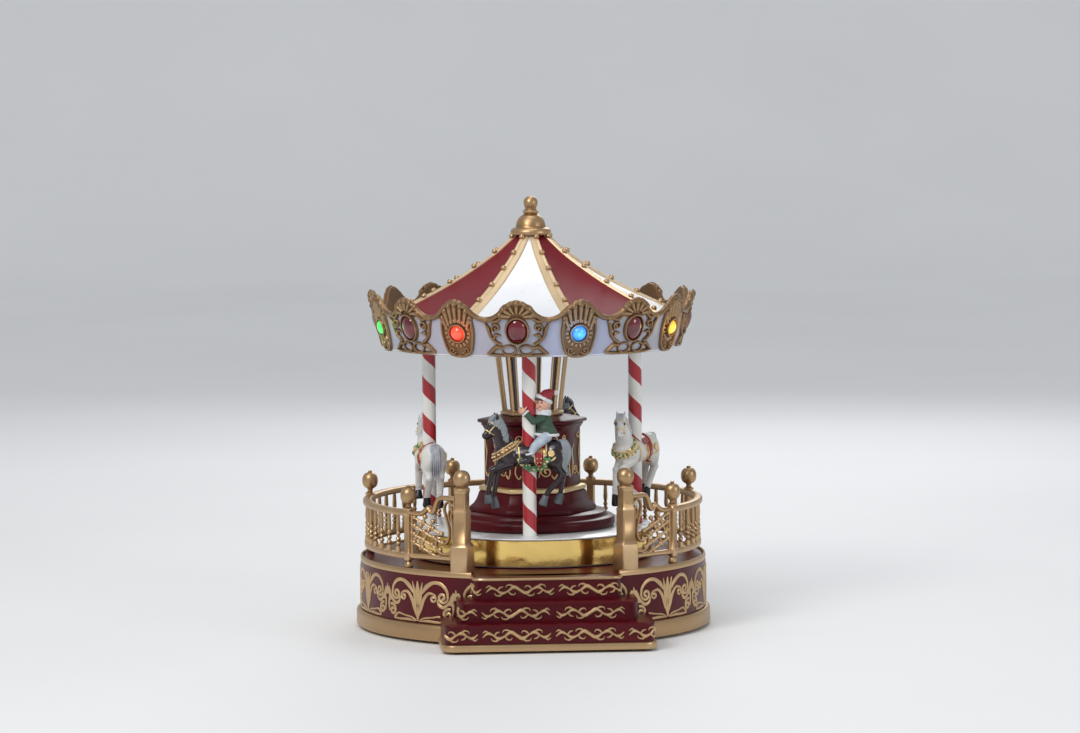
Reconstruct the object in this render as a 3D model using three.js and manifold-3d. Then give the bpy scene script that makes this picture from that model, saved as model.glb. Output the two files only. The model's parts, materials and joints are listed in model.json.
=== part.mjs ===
// A table-top musical carousel: a round base with a flight of steps and a gallery railing, a motor-driven
// turntable with four galloping horses on candy-striped poles, a mirrored tower and a jewelled canopy.
// Millimetres, +Z up, the steps face -Y. The origin is on the table, under the middle of the whole toy's box.
import * as THREE from "three";
import { mergeVertices } from "three/addons/utils/BufferGeometryUtils.js";
import Module from "manifold-3d";

const wasm = await Module();
wasm.setup();

// ---------------------------------------------------------------- driving dimensions
const gap = 0.3; // clearance kept between neighbouring pieces
const footHeight = 1.5;
const plinthRadius = 99;
const plinthTop = 10.5;
const wallRadius = 96.5;
const wallThickness = 2.2;
const deckTop = 38.8; // the walkway round the turntable
const deckThickness = 2.4;
const rimTop = 40.1;
const wellRadius = 63.5; // the opening in the deck that the turntable covers

const drumRadius = 66.9;
const floorTop = 55.2;
const floorThickness = 2;
const skirtBottom = deckTop + 0.5;

const poleCircle = 57.5;
const poleRadius = 3.8;
const poleBottom = 43;
const poleTop = 168;
const gallop = 3.2; // half of each horse's stroke
const crestAngle = 66; // where on the turntable the wave track stands highest, from the front pole
const poleHoleRadius = 4.3;

const railRadius = 92.4;
const railWidth = 5;
const topRail = [68, 71.4];
const lowRail = [44.6, 47.6];
const newelPitch = 360 / 7; // the gate takes the place of the seventh newel
const balustersPerBay = 8;
const railSides = 5;
const gatePostAngle = 29.2;
const gatePostRadius = 91;

const ceilingZ = [157.4, 159.4];
const corniceBottom = 155.8;
const corniceValley = 177.6;
const corniceCrest = 187;
const corniceLowRadius = 82;
const corniceHighRadius = 90.2;
const jewelCount = 16; // round lamps and oval stones in turn
const columnPinRadius = 3; // the canopy turns on a pin at the top of the column

// How far each part of the turning assembly is turned at rest, in degrees, positive from -Y towards +X.
const turntableAngle = -6;
const canopyAngle = -9.5;
const towerAngle = 1.2;

const horseAngle = { front: 0, right: 90, back: 180, left: 270 };
const horseTurn = { front: 0, right: -26, back: 0, left: 12 }; // how far each horse is turned on its pole
const horseLift = { front: 0, right: -5, back: 1.4, left: -2.2 }; // and how high it is fixed on it

const driveTeeth = 9;
const wheelTeeth = 36;
const toothModule = 4 / 3;

// ---------------------------------------------------------------- materials
function paint(color, roughness, metalness) {
  return new THREE.MeshStandardMaterial({ color, roughness, metalness });
}
const burgundy = paint(0x4a0f1a, 0.35, 0);
const gold = paint(0xa8845a, 0.42, 0.75);
const foil = paint(0xd9b25a, 0.18, 1);
const floorWhite = paint(0xdcdcd6, 0.3, 0);
const corniceWhite = paint(0xc9ccd8, 0.5, 0);
const roofRed = paint(0x7d2230, 0.4, 0);
const mirror = paint(0xc8ccd4, 0.06, 1);
const stripe = paint(0xb5121b, 0.3, 0);
const horseDark = paint(0x2a1a1c, 0.35, 0);
const horseWhite = paint(0xdad7d2, 0.4, 0);
const riderCloth = paint(0x34503c, 0.6, 0);
const steel = paint(0xb8b8ba, 0.3, 1);
const blackPlastic = paint(0x1c1c1e, 0.6, 0);
const natural = paint(0xe4e0d4, 0.5, 0);
const board = paint(0x1f5a34, 0.5, 0);
const cell = paint(0x8f9aa6, 0.35, 0.6);
const rubber = paint(0x151515, 0.9, 0);

// ---------------------------------------------------------------- solids
const rad = THREE.MathUtils.degToRad;

function solid(geometry) {
  const bare = new THREE.BufferGeometry();
  bare.setAttribute("position", geometry.getAttribute("position"));
  if (geometry.index) bare.setIndex(geometry.index);
  const merged = mergeVertices(bare, 1e-4);
  const faces = [];
  const index = merged.index.array;
  for (let i = 0; i < index.length; i += 3) {
    const [a, b, c] = [index[i], index[i + 1], index[i + 2]];
    if (a !== b && b !== c && a !== c) faces.push(a, b, c);
  }
  const vertProperties = merged.getAttribute("position").array;
  const make = (list) =>
    new wasm.Manifold(new wasm.Mesh({ numProp: 3, vertProperties, triVerts: Uint32Array.from(list) }));
  const made = make(faces);
  if (made.volume() > 0) return made;
  const turned = [];
  for (let i = 0; i < faces.length; i += 3) turned.push(faces[i], faces[i + 2], faces[i + 1]);
  return make(turned);
}

function join(...pieces) {
  return pieces.flat().reduce((all, piece) => all.add(piece));
}

function cut(body, ...tools) {
  return tools.flat().reduce((rest, tool) => rest.subtract(tool), body);
}

// A profile of [radius, height] points turned about Z.
function turned(profile, segments = 24) {
  const points = profile.map(([r, z]) => new THREE.Vector2(r, z));
  return solid(new THREE.LatheGeometry(points, segments).rotateX(Math.PI / 2));
}

// A ring of rectangular section.
function ring(inner, outer, low, high, segments = 48) {
  return turned([[inner, low], [outer, low], [outer, high], [inner, high], [inner, low]], segments);
}

function disc(radius, low, high, segments = 24) {
  return turned([[0, low], [radius, low], [radius, high], [0, high]], segments);
}

function block(width, depth, low, high, x = 0, y = 0) {
  return solid(new THREE.BoxGeometry(width, depth, high - low).translate(x, y, (low + high) / 2));
}

function prism(shape, low, high, curveSegments = 8) {
  const options = { depth: high - low, bevelEnabled: false, curveSegments };
  return solid(new THREE.ExtrudeGeometry(shape, options).translate(0, 0, low));
}

function polygonShape(points) {
  return new THREE.Shape(points.map(([x, y]) => new THREE.Vector2(x, y)));
}

// A place on a circle about the axis: angle 0 is the front, -Y, and +90 is +X.
function around(radius, degrees) {
  const a = rad(degrees);
  return [radius * Math.sin(a), -radius * Math.cos(a)];
}

// A band of rectangular section bent round the axis from one angle to another.
function arcBand(inner, outer, from, to, low, high) {
  const shape = new THREE.Shape();
  shape.absarc(0, 0, outer, rad(from - 90), rad(to - 90), false);
  shape.absarc(0, 0, inner, rad(to - 90), rad(from - 90), true);
  return prism(shape, low, high, Math.max(2, Math.round(Math.abs(to - from) / 7.5)));
}

// A tapered limb with round ends, from one point to another.
function limb(a, ra, b, rb, sides = 6) {
  const from = new THREE.Vector3(...a);
  const to = new THREE.Vector3(...b);
  const length = from.distanceTo(to);
  const profile = [[0, -0.8 * ra], [ra, 0], [rb, length], [0, length + 0.8 * rb]].map(
    ([r, h]) => new THREE.Vector2(r, h),
  );
  const geometry = new THREE.LatheGeometry(profile, sides);
  const turn = new THREE.Quaternion().setFromUnitVectors(
    new THREE.Vector3(0, 1, 0),
    to.clone().sub(from).normalize(),
  );
  geometry.applyQuaternion(turn).translate(from.x, from.y, from.z);
  return solid(geometry);
}

function ellipsoid([x, y, z], rx, ry, rz, across = 8, up = 4) {
  return solid(new THREE.SphereGeometry(1, across, up).scale(rx, ry, rz).translate(x, y, z));
}

function turnedTo(body, degrees) {
  return body.rotate([0, 0, degrees]);
}

// ---------------------------------------------------------------- the scene graph
const stepRows = [
  { half: 56.5, front: 118, top: 15.7 },
  { half: 48.2, front: 110.5, top: 26.8 },
  { half: 40, front: 102.5, top: deckTop },
];
const trimStandOut = 1.4; // the gold band at the foot of the steps stands this far out
const stepsFront = stepRows[0].front + trimStandOut;
const carousel = new THREE.Group();
carousel.position.y = (stepsFront - plinthRadius) / 2;
const turningGroup = new THREE.Group();
turningGroup.rotation.z = rad(turntableAngle);
const canopyGroup = new THREE.Group();
canopyGroup.rotation.z = rad(canopyAngle);
const towerGroup = new THREE.Group();
towerGroup.rotation.z = rad(towerAngle);
carousel.add(turningGroup, canopyGroup, towerGroup);

function addPiece(parent, name, body, material) {
  const made = body.getMesh();
  const geometry = new THREE.BufferGeometry();
  geometry.setAttribute("position", new THREE.BufferAttribute(Float32Array.from(made.vertProperties), 3));
  geometry.setIndex(new THREE.BufferAttribute(Uint32Array.from(made.triVerts), 1));
  const mesh = new THREE.Mesh(geometry, material);
  mesh.name = name;
  parent.add(mesh);
  return mesh;
}

// ---------------------------------------------------------------- steps
const trimTop = 5.3;
const stepWall = 2;
const stepCornerRadius = 6;
const stepsBack = 74;

function stepOutline(half, front, grow = 0) {
  const h = half + grow;
  const f = -(front + grow);
  const r = stepCornerRadius;
  const shape = new THREE.Shape();
  shape.moveTo(-h, -stepsBack);
  shape.lineTo(-h, f + r);
  shape.absarc(-h + r, f + r, r, Math.PI, 1.5 * Math.PI, false);
  shape.lineTo(h - r, f);
  shape.absarc(h - r, f + r, r, 1.5 * Math.PI, 2 * Math.PI, false);
  shape.lineTo(h, -stepsBack);
  return shape;
}

function stepsBlock() {
  const outside = join(
    stepRows.map(({ half, front, top }) => prism(stepOutline(half, front), trimTop + gap, top, 4)),
  );
  const hollow = join(
    stepRows.map(({ half, front, top }) =>
      prism(stepOutline(half, front, -stepWall), trimTop, top - stepWall, 4),
    ),
  );
  const plinthRoom = disc(plinthRadius + gap, 0, plinthTop + gap, 48);
  const wallRoom = disc(wallRadius + gap, 0, 60, 48);
  return cut(outside, hollow, plinthRoom, wallRoom);
}

function stepsTrim() {
  const { half, front } = stepRows[0];
  const outside = prism(stepOutline(half, front, trimStandOut), footHeight, trimTop, 4);
  const inside = prism(stepOutline(half, front, -3), 0, trimTop + 1, 4);
  return cut(outside, inside, disc(plinthRadius + gap, 0, 20, 48));
}

// ---------------------------------------------------------------- base
const plinthInner = 93;
function plinthRing() {
  return turned(
    [
      [plinthInner, footHeight], [plinthRadius, footHeight], [plinthRadius, plinthTop - 1],
      [plinthRadius - 1.2, plinthTop], [plinthInner, plinthTop], [plinthInner, footHeight],
    ],
    48,
  );
}

function baseShell() {
  const inner = wallRadius - wallThickness;
  const rimInner = wallRadius - 1.5;
  const shell = turned(
    [
      [inner, plinthTop + gap], [wallRadius, plinthTop + gap], [wallRadius, rimTop], [rimInner, rimTop],
      [rimInner, deckTop], [wellRadius, deckTop], [wellRadius, deckTop - deckThickness],
      [inner, deckTop - deckThickness], [inner, plinthTop + gap],
    ],
    48,
  );
  // The raised rim stops at the gate, where the walkway runs out onto the top step.
  const gateHalfWidth = gatePostRadius * Math.sin(rad(gatePostAngle)) + 8;
  return cut(shell, block(2 * gateHalfWidth, 60, deckTop, 60, 0, -100));
}

const batteryBay = { width: 48, depth: 54, x: 0, y: 10 };
const coverZ = [3, 5.2];
const switchPlace = { x: 55, y: 0 };
const switchTravel = 6.4;
const speakerPlace = { x: -58, y: 6 };
const boardZ = [19, 20.6];
const screwPlaces = [45, 135, 225, 315].map((a) => around(84, a));
const footPlaces = [[-80, -28], [80, -28], [44, 64], [-44, 64]];
const footRadius = 5;

function bottomCover() {
  const plate = disc(92.5, coverZ[0], coverZ[1], 48);
  const bay = block(batteryBay.width, batteryBay.depth, 0, 10, batteryBay.x, batteryBay.y);
  const slot = block(13, 5, 0, 10, switchPlace.x, switchPlace.y);
  const screws = screwPlaces.map(([x, y]) => disc(1.7, 0, 10, 12).translate([x, y, 0]));
  const grille = [0, 60, 120, 180, 240, 300].map((a) => {
    const [x, y] = around(7, a);
    return disc(1.6, 0, 10, 8).translate([speakerPlace.x + x, speakerPlace.y + y, 0]);
  });
  return cut(plate, bay, slot, screws, grille);
}

function coverScrew() {
  const head = disc(3, coverZ[0] - 1.1, coverZ[0] - gap / 3, 12);
  const shank = disc(1.3, coverZ[0] - 1, 9.5, 12);
  return join(head, shank);
}

function foot() {
  const top = coverZ[0] - gap;
  return turned([[0, 0], [footRadius - 0.6, 0], [footRadius, 0.6], [footRadius, top], [0, top]], 20);
}

function batteryBox() {
  const { width, depth, x, y } = batteryBay;
  const outside = block(width + 3, depth + 3, coverZ[1] + gap, 23, x, y);
  return cut(outside, block(width, depth, 0, 21.5, x, y));
}

function batteryDoor() {
  const { width, depth, x, y } = batteryBay;
  const plate = block(width - 0.8, depth - 0.8, coverZ[0], coverZ[1] - 0.2, x, y);
  const notch = block(12, 1.6, coverZ[0] - 1, coverZ[0] + 0.8, x, y - depth / 2 + 4);
  return cut(plate, notch);
}

const cellRadius = 7.1;
const cellLength = 49;
const cellPitch = 15.2;
function batteryCell() {
  const body = disc(cellRadius, -cellLength / 2, cellLength / 2, 20);
  const button = disc(2.6, cellLength / 2 - 0.1, cellLength / 2 + 1.4, 12);
  return join(body, button).rotate([90, 0, 0]);
}

const chassisZ = [24, 26.5];
const spindleRadius = 3;
const bearingTop = 43.7;
const meshDistance = (toothModule * (driveTeeth + wheelTeeth)) / 2;
function chassisPlate() {
  const plate = disc(62, chassisZ[0], chassisZ[1], 40);
  const boss = disc(7.5, chassisZ[0], bearingTop, 20);
  const bore = disc(spindleRadius + gap, 0, 60, 20);
  const arms = [40, 140, 220, 320].map((a) => turnedTo(block(12, 34, chassisZ[0], chassisZ[1], 0, -76), a));
  return cut(join(plate, boss, arms), bore);
}

function camRing() {
  const inner = poleCircle - 3.5;
  const outer = poleCircle + 3.5;
  // The track stays below the lowest stroke of the feet, so a pole is clear of it at any turn.
  const middle = poleBottom - 2 * gallop - 0.6;
  const height = (a) => middle + gallop * Math.cos(rad(a - crestAngle - turntableAngle));
  return waveRing(inner, outer, chassisZ[1] + gap, height, 36);
}

// A ring whose top follows height(angle in degrees from the front).
function waveRing(inner, outer, low, height, segments) {
  const positions = [];
  const index = [];
  for (let i = 0; i < segments; i++) {
    const a = (360 * i) / segments;
    const top = height(a);
    for (const [r, z] of [[inner, low], [outer, low], [outer, top], [inner, top]]) {
      const [x, y] = around(r, a);
      positions.push(x, y, z);
    }
    const here = 4 * i;
    const next = 4 * ((i + 1) % segments);
    for (let k = 0; k < 4; k++) {
      const m = (k + 1) % 4;
      index.push(here + k, next + k, here + m, here + m, next + k, next + m);
    }
  }
  const geometry = new THREE.BufferGeometry();
  geometry.setAttribute("position", new THREE.Float32BufferAttribute(positions, 3));
  geometry.setIndex(index);
  return solid(geometry);
}

// ---------------------------------------------------------------- drive
function gearOutline(teeth, toothTurn) {
  const pitchRadius = (toothModule * teeth) / 2;
  const tip = pitchRadius + 0.85 * toothModule;
  const root = pitchRadius - 1.15 * toothModule;
  const step = 360 / teeth;
  const points = [];
  for (let i = 0; i < teeth; i++) {
    const middle = i * step + toothTurn;
    points.push(around(root, middle - 0.3 * step), around(tip, middle - 0.13 * step));
    points.push(around(tip, middle + 0.13 * step), around(root, middle + 0.3 * step));
  }
  return polygonShape(points);
}

const gearZ = [44, 49];
const hubRadius = 9;
function turntableWheel() {
  const wheel = prism(gearOutline(wheelTeeth, 0), gearZ[0], gearZ[1]);
  return cut(wheel, disc(spindleRadius + gap, 0, 60, 16));
}

function drivePinion() {
  // At the point of mesh a tooth of the wheel faces a space of the pinion.
  const pinion = prism(gearOutline(driveTeeth, 180 / driveTeeth), gearZ[0] - 0.5, gearZ[1] - 0.5);
  const shaft = disc(1.5, chassisZ[1] + 10.5, gearZ[0], 10);
  return join(pinion, shaft);
}

function gearMotor() {
  const body = block(24, 22, chassisZ[1] + gap, chassisZ[1] + 13, 0, 0);
  return cut(body, disc(1.8, chassisZ[1] + 10, 60, 12));
}

// ---------------------------------------------------------------- railing
const finialTop = 85;
function newel() {
  const post = block(3.7, 4.2, lowRail[0], topRail[1], 0, -railRadius);
  const low = deckTop + gap;
  const foot = turned([[0, low], [1.5, low], [2.3, 41.6], [1.4, 43.6], [1.4, 45], [0, 45]], 8);
  const finial = turned(
    [
      [0, 71], [2.4, 71], [1.6, 74], [3.8, 76.6], [4.3, 79], [3.8, 81.6], [1.6, 83.6], [1.2, finialTop],
      [0, finialTop],
    ],
    10,
  );
  return join(post, foot.translate([0, -railRadius, 0]), finial.translate([0, -railRadius, 0]));
}

function baluster() {
  return turned(
    [
      [0, lowRail[0] + 1], [1.3, lowRail[0] + 1], [0.8, 51], [1.4, 54.5],
      [0.95, topRail[1] - 1], [0, topRail[1] - 1],
    ],
    railSides,
  ).translate([0, -railRadius, 0]);
}

function rails(from, to) {
  const inner = railRadius - railWidth / 2;
  const outer = railRadius + railWidth / 2;
  return join(
    arcBand(inner, outer, from, to, topRail[0], topRail[1]),
    arcBand(inner + 0.7, outer - 0.7, from, to, lowRail[0], lowRail[1]),
  );
}

const seamAngle = 8.4; // each length of railing starts this far past a newel, beyond one baluster
const seamGap = 0.25;
const balusterPitch = newelPitch / (balustersPerBay + 1);
function railingBay(bay) {
  const start = newelPitch * bay;
  const last = bay === 5;
  const end = last ? start + newelPitch - seamAngle - seamGap : start + newelPitch + seamAngle;
  const pieces = [rails(start + seamAngle + seamGap, end)];
  const count = last ? balustersPerBay - 1 : balustersPerBay;
  for (let i = 2; i <= count; i++) pieces.push(turnedTo(baluster(), start + i * balusterPitch));
  if (!last) {
    pieces.push(turnedTo(newel(), start + newelPitch));
    pieces.push(turnedTo(baluster(), start + newelPitch + balusterPitch));
  }
  return join(pieces);
}

// One flat side panel of the gate. u runs from the newel (0) to the gate post, v is height.
function ribbon(points, width, closed = false) {
  const curve = new THREE.CatmullRomCurve3(points.map(([u, v]) => new THREE.Vector3(u, v, 0)), closed);
  const count = points.length === 2 ? 1 : points.length + 2;
  const left = [];
  const right = [];
  for (let i = 0; i <= count; i++) {
    const p = curve.getPoint(i / count);
    const t = curve.getTangent(i / count);
    left.push([p.x - (t.y * width) / 2, p.y + (t.x * width) / 2]);
    right.push([p.x + (t.y * width) / 2, p.y - (t.x * width) / 2]);
  }
  return polygonShape([...left, ...right.reverse()]);
}

const panelThickness = 3;
const panelBar = 1.5; // the width of the panel's thinner bars
const handrailWidth = 2.6;
function gatePanel() {
  const newelPoint = around(railRadius, newelPitch);
  const postPoint = around(gatePostRadius, gatePostAngle);
  const run = Math.hypot(newelPoint[0] - postPoint[0], newelPoint[1] - postPoint[1]);
  const end = run - 5.6; // the panel stops against the gate post's flank
  const [low, high] = [lowRail[0] + gap, lowRail[1] - gap];
  const handrail = [
    [0, 69.8], [6, 69.6], [10.5, 70.6], [14, 73.4], [16.5, 71], [18.6, 73], [20, 77.4], [23.5, 79.4],
    [end, 79.2],
  ];
  const scroll = [
    [1.4, 73], [4, 76.6], [6.6, 73.5], [4.8, 68], [3.2, 61], [5, 56.5], [3.4, 50.5], [7.5, 46.8],
    [11, 50], [9, 54.8],
  ].map(([back, v]) => [end - back, v]);
  const slantedBars = [9.6, 9.6, 4.6, 5].map((back, i) => {
    const v = 55 + i * 5.4;
    const reach = end - back;
    return ribbon([[1, v], [reach, v - reach / 2]], panelBar);
  });
  const flat = [
    polygonShape([[0.4, low], [end, low], [end, high], [0.4, high]]),
    ribbon(handrail, handrailWidth),
    ribbon(scroll, panelBar),
    ribbon([[end - 1.4, 46], [end - 1.4, 79]], panelBar),
    ...slantedBars,
    ribbon([[6.2, 46], [8.4, 71]], 1.3),
    ribbon([[13.4, 46], [14.4, 73]], 1.3),
  ];
  // Each bar is a hair thinner than the last, so no two of them share a face.
  const wall = join(flat.map((shape, i) => prism(shape, 0.05 * i, panelThickness - 0.05 * i, 6)));
  // Stand the panel up, then turn it onto the chord between newel and gate post.
  const heading = (Math.atan2(postPoint[1] - newelPoint[1], postPoint[0] - newelPoint[0]) * 180) / Math.PI;
  const upright = wall
    .translate([0, 0, -panelThickness / 2])
    .rotate([90, 0, 0])
    .rotate([0, 0, heading])
    .translate([newelPoint[0], newelPoint[1], 0]);
  const stub = rails(newelPitch - 1, newelPitch + seamAngle);
  const firstBaluster = turnedTo(baluster(), newelPitch + balusterPitch);
  return join(upright, stub, turnedTo(newel(), newelPitch), firstBaluster);
}

function gatePost() {
  const columns = [
    [10.2, deckTop + gap, 53.6], [9.2, 53.4, 55.2], [7.3, 55, 72.4], [6.7, 72.2, 74], [6, 73.8, 83.6],
  ];
  const shaft = columns.map(([side, low, high]) => block(side, side, low, high));
  const ball = turned(
    [[0, 83], [4.5, 83.4], [4.5, 84.6], [3, 85.8], [4.7, 89], [4.3, 92.4], [2.4, 94.4], [0, 95]],
    12,
  );
  return join(shaft, ball);
}

// ---------------------------------------------------------------- turntable
const bandThickness = 0.9;
const skirtOuter = drumRadius - bandThickness - gap;
const skirtInner = skirtOuter - 1.7;
const lip = 0.9; // the floor's edge stands out over the gold band
function turntable() {
  const floor = turned(
    [
      [0, floorTop - floorThickness], [skirtInner, floorTop - floorThickness], [skirtInner, skirtBottom],
      [skirtOuter, skirtBottom], [skirtOuter, floorTop - lip], [drumRadius, floorTop - lip],
      [drumRadius, floorTop], [0, floorTop],
    ],
    48,
  );
  const hub = disc(hubRadius, gearZ[1] + gap, floorTop - 1, 20);
  const holes = Object.values(horseAngle).map((a) => {
    const [x, y] = around(poleCircle, a);
    return disc(poleHoleRadius, 30, 70, 16).translate([x, y, 0]);
  });
  return cut(join(floor, hub), holes, disc(spindleRadius + gap, 30, 70, 16));
}

function goldBand() {
  return ring(drumRadius - bandThickness, drumRadius, skirtBottom + 0.4, floorTop - lip - gap);
}

const stageTop = 63.7;
function stageDisc() {
  const body = turned(
    [
      [0, floorTop + gap], [45, floorTop + gap], [46, floorTop + 1.2], [46, 59.8], [45, 60.9], [42, 61],
      [41, stageTop], [0, stageTop],
    ],
    36,
  );
  return cut(body, disc(spindleRadius + gap, 30, 62, 16));
}

// A column of regular polygons: levels are [corner radius, height], and one corner points to -Y.
function facetedColumn(levels, sides) {
  return turned([[0, levels[0][1]], ...levels, [0, levels[levels.length - 1][1]]], sides);
}

function towerCabinet() {
  const outside = facetedColumn(
    [
      [36, stageTop + gap], [35.4, 66.4], [31.5, 70.5], [29.2, 75.4], [30, 75.8], [30, 77.6], [27.2, 78],
      [27.2, 110.6], [28.6, 112.8],
    ],
    6,
  );
  const inside = facetedColumn([[25, 60], [25, 110.2]], 6);
  return turnedTo(cut(outside, inside), 30);
}

function towerTop() {
  return turnedTo(facetedColumn([[28.6, 113.1], [31, 114.1], [31, 115], [27, 116.2], [19, 117.4]], 6), 30);
}

const mirrorBottom = 117.7;
function mirrorColumn() {
  const top = ceilingZ[0] - gap;
  const levels = [[17.4, mirrorBottom], [17.4, 119.4], [15.9, 120], [20.4, 156.2], [20.4, top]];
  const outside = facetedColumn(levels, 8);
  const inside = facetedColumn([[13.6, 110], [17.4, 153]], 8);
  return join(cut(outside, inside), disc(columnPinRadius, 155, 166, 16));
}

// ---------------------------------------------------------------- canopy
function canopyCeiling() {
  const plate = disc(80.5, ceilingZ[0], ceilingZ[1], 48);
  const holes = Object.values(horseAngle).map((a) => {
    const [x, y] = around(poleCircle, a + turntableAngle - canopyAngle);
    return disc(poleHoleRadius, 100, 200, 16).translate([x, y, 0]);
  });
  const bushing = disc(7, ceilingZ[0], 164, 16);
  return cut(join(plate, bushing), holes, disc(columnPinRadius + gap, 100, 200, 16));
}

// The top edge rises over each jewel and dips between them.
function crestHeight(degrees) {
  const pitch = 360 / jewelCount;
  const fromJewel = Math.abs((((degrees % pitch) + pitch) % pitch) - pitch / 2) / (pitch / 2);
  const rise = THREE.MathUtils.smoothstep(fromJewel, 0.35, 0.72);
  return corniceValley + (corniceCrest - corniceValley) * rise;
}

function cornice() {
  const segments = jewelCount * 4;
  const thickness = 2.2;
  const slope = (corniceHighRadius - corniceLowRadius) / (corniceCrest - corniceBottom);
  const positions = [];
  const index = [];
  for (let i = 0; i < segments; i++) {
    const a = (360 * i) / segments;
    const top = crestHeight(a);
    const high = corniceLowRadius + slope * (top - corniceBottom);
    const section = [
      [corniceLowRadius - thickness, corniceBottom],
      [corniceLowRadius, corniceBottom],
      [high, top],
      [high - thickness, top],
    ];
    for (const [r, z] of section) {
      const [x, y] = around(r, a);
      positions.push(x, y, z);
    }
    const here = 4 * i;
    const next = 4 * ((i + 1) % segments);
    for (let k = 0; k < 4; k++) {
      const m = (k + 1) % 4;
      index.push(here + k, next + k, here + m, here + m, next + k, next + m);
    }
  }
  const geometry = new THREE.BufferGeometry();
  geometry.setAttribute("position", new THREE.Float32BufferAttribute(positions, 3));
  geometry.setIndex(index);
  return cut(solid(geometry), disc(80.8, 150, ceilingZ[1] + gap, 48));
}

const roofProfile = [
  [8.8, 217.6], [13.5, 213.6], [21, 207.5], [31.3, 200.6], [43.8, 193], [60, 184.6], [82.8, 174.2],
];
const roofShell = 1.8;
const ribWidth = 4.4;
function roofCone() {
  // Eight flat gores with a corner on each rib, turned with eight sides and swung half a gore round.
  const under = roofProfile.map(([r, z]) => [r, z - roofShell]).reverse();
  const skin = turned([...roofProfile, ...under, roofProfile[0]], 8);
  const over = roofProfile.map(([r, z]) => [r, z + 1.6]);
  const inner = roofProfile.map(([r, z]) => [r, z - 1]).reverse();
  const rib = prism(polygonShape([...over, ...inner]), -ribWidth / 2, ribWidth / 2).rotate([90, 0, 0]);
  const ribs = [];
  for (let i = 0; i < 8; i++) ribs.push(turnedTo(rib, 45 * i));
  return turnedTo(join(skin, ribs), 22.5);
}

function roofFinial() {
  return turned(
    [
      [0, 219.5], [9, 219.5], [11, 217.9], [11.2, 219.6], [10.2, 221.3], [8.2, 222.2], [8, 224.2],
      [7, 226.8], [5, 228.6], [3.4, 229.2], [4.3, 229.8], [4.4, 231], [3.2, 232], [3.6, 233.6], [4, 235.3],
      [3.4, 237.6], [2, 238.8], [0, 239.2],
    ],
    12,
  );
}

function lampRing() {
  return ring(71, 77, ceilingZ[1] + gap, ceilingZ[1] + 1.8, 48);
}

// ---------------------------------------------------------------- horses
// The horse faces -X and its pole runs up Z through the origin. Heights are above the table at mid stroke.
// Its head is turned a little outwards, to the near side, -1.
const neckFoot = [-12.2, 0, 100.6];
const poll = [-17.6, 0, 118];
const muzzle = [-23.8, -2.4, 110.4];
const tailRoot = [19.4, 0, 103];
const tailTip = [22.6, 0, 88.4];
const bodyHalfWidth = 7;
const hipY = 3.6;
const hoofY = 2.9;
// The near side has its forefoot thrown higher and its hind foot further forward.
const legs = {
  "-1": { knee: [-20, 90.8], forefoot: [-22.6, 74.6], hock: [18.2, 88.4], hindfoot: [8.2, 73.4] },
  1: { knee: [-17.4, 89.2], forefoot: [-19.2, 72.2], hock: [18.6, 88.4], hindfoot: [15.4, 73.6] },
};

function horseBody(grow) {
  const g = grow;
  const parts = [
    ellipsoid([0, 0, 98.2], 17.5 + g, bodyHalfWidth - 0.2 + g, 7.2 + g, 10, 5),
    ellipsoid([14, 0, 99.2], 8.2 + g, bodyHalfWidth + 0.2 + g, 8 + g),
    limb(neckFoot, 6.6 + g, poll, 4 + g, 7),
    limb(poll, 3.8 + g, muzzle, 2.3 + g, 7),
    limb(tailRoot, 2.7 + g, tailTip, 2.1 + g, 5),
  ];
  for (const side of [-1, 1]) {
    const { knee, forefoot, hock, hindfoot } = legs[side];
    const hip = hipY * side;
    const y = hoofY * side;
    const earFoot = [poll[0] - 0.2, 1.9 * side, poll[2] + 0.2];
    const earTip = [poll[0] - 0.6, 2.4 * side, poll[2] + 4];
    parts.push(limb(earFoot, 1.4 + g, earTip, 0.7 + g, 4));
    parts.push(limb([-9.4, hip, 96], 3.7 + g, [knee[0], y, knee[1] - 0.6], 2.2 + g, 5));
    parts.push(limb([knee[0], y, knee[1] + 0.6], 2.2 + g, [forefoot[0], y, forefoot[1]], 2.1 + g, 5));
    parts.push(limb([14, hip, 98], 4.6 + g, [hock[0], y, hock[1] - 0.6], 2.3 + g, 5));
    parts.push(limb([hock[0], y, hock[1] + 0.6], 2.2 + g, [hindfoot[0], y, hindfoot[1]], 2.1 + g, 5));
  }
  return join(parts);
}

function poleSolid(grow = 0) {
  return disc(poleRadius + grow, poleBottom - grow, poleTop + grow, 16);
}

function horse() {
  return cut(horseBody(0), poleSolid(gap));
}

function riderBody() {
  const parts = [
    ellipsoid([9.4, 0, 114.8], 5.8, 5, 7.4),
    ellipsoid([7.7, 0, 127.2], 4.2, 4.2, 4.6),
    limb([8.8, 0, 118.8], 3, [7.9, 0, 124.8], 2.8, 5),
    limb([8.2, 0, 129.6], 4.3, [13, 0, 134], 1.8),
  ];
  for (const side of [-1, 1]) {
    parts.push(limb([7.2, 3.6 * side, 118.8], 2.4, [-1.8, 5.4 * side, 122.2], 1.8, 5));
    parts.push(limb([9.4, 4.4 * side, 109.2], 3.1, [3, 7.6 * side, 104], 2.5, 5));
    parts.push(limb([3, 7.8 * side, 104.4], 2.3, [-0.2, 8.2 * side, 97], 1.9, 5));
  }
  return join(parts);
}

function rider() {
  return cut(riderBody(), horseBody(gap), poleSolid(gap));
}

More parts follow.
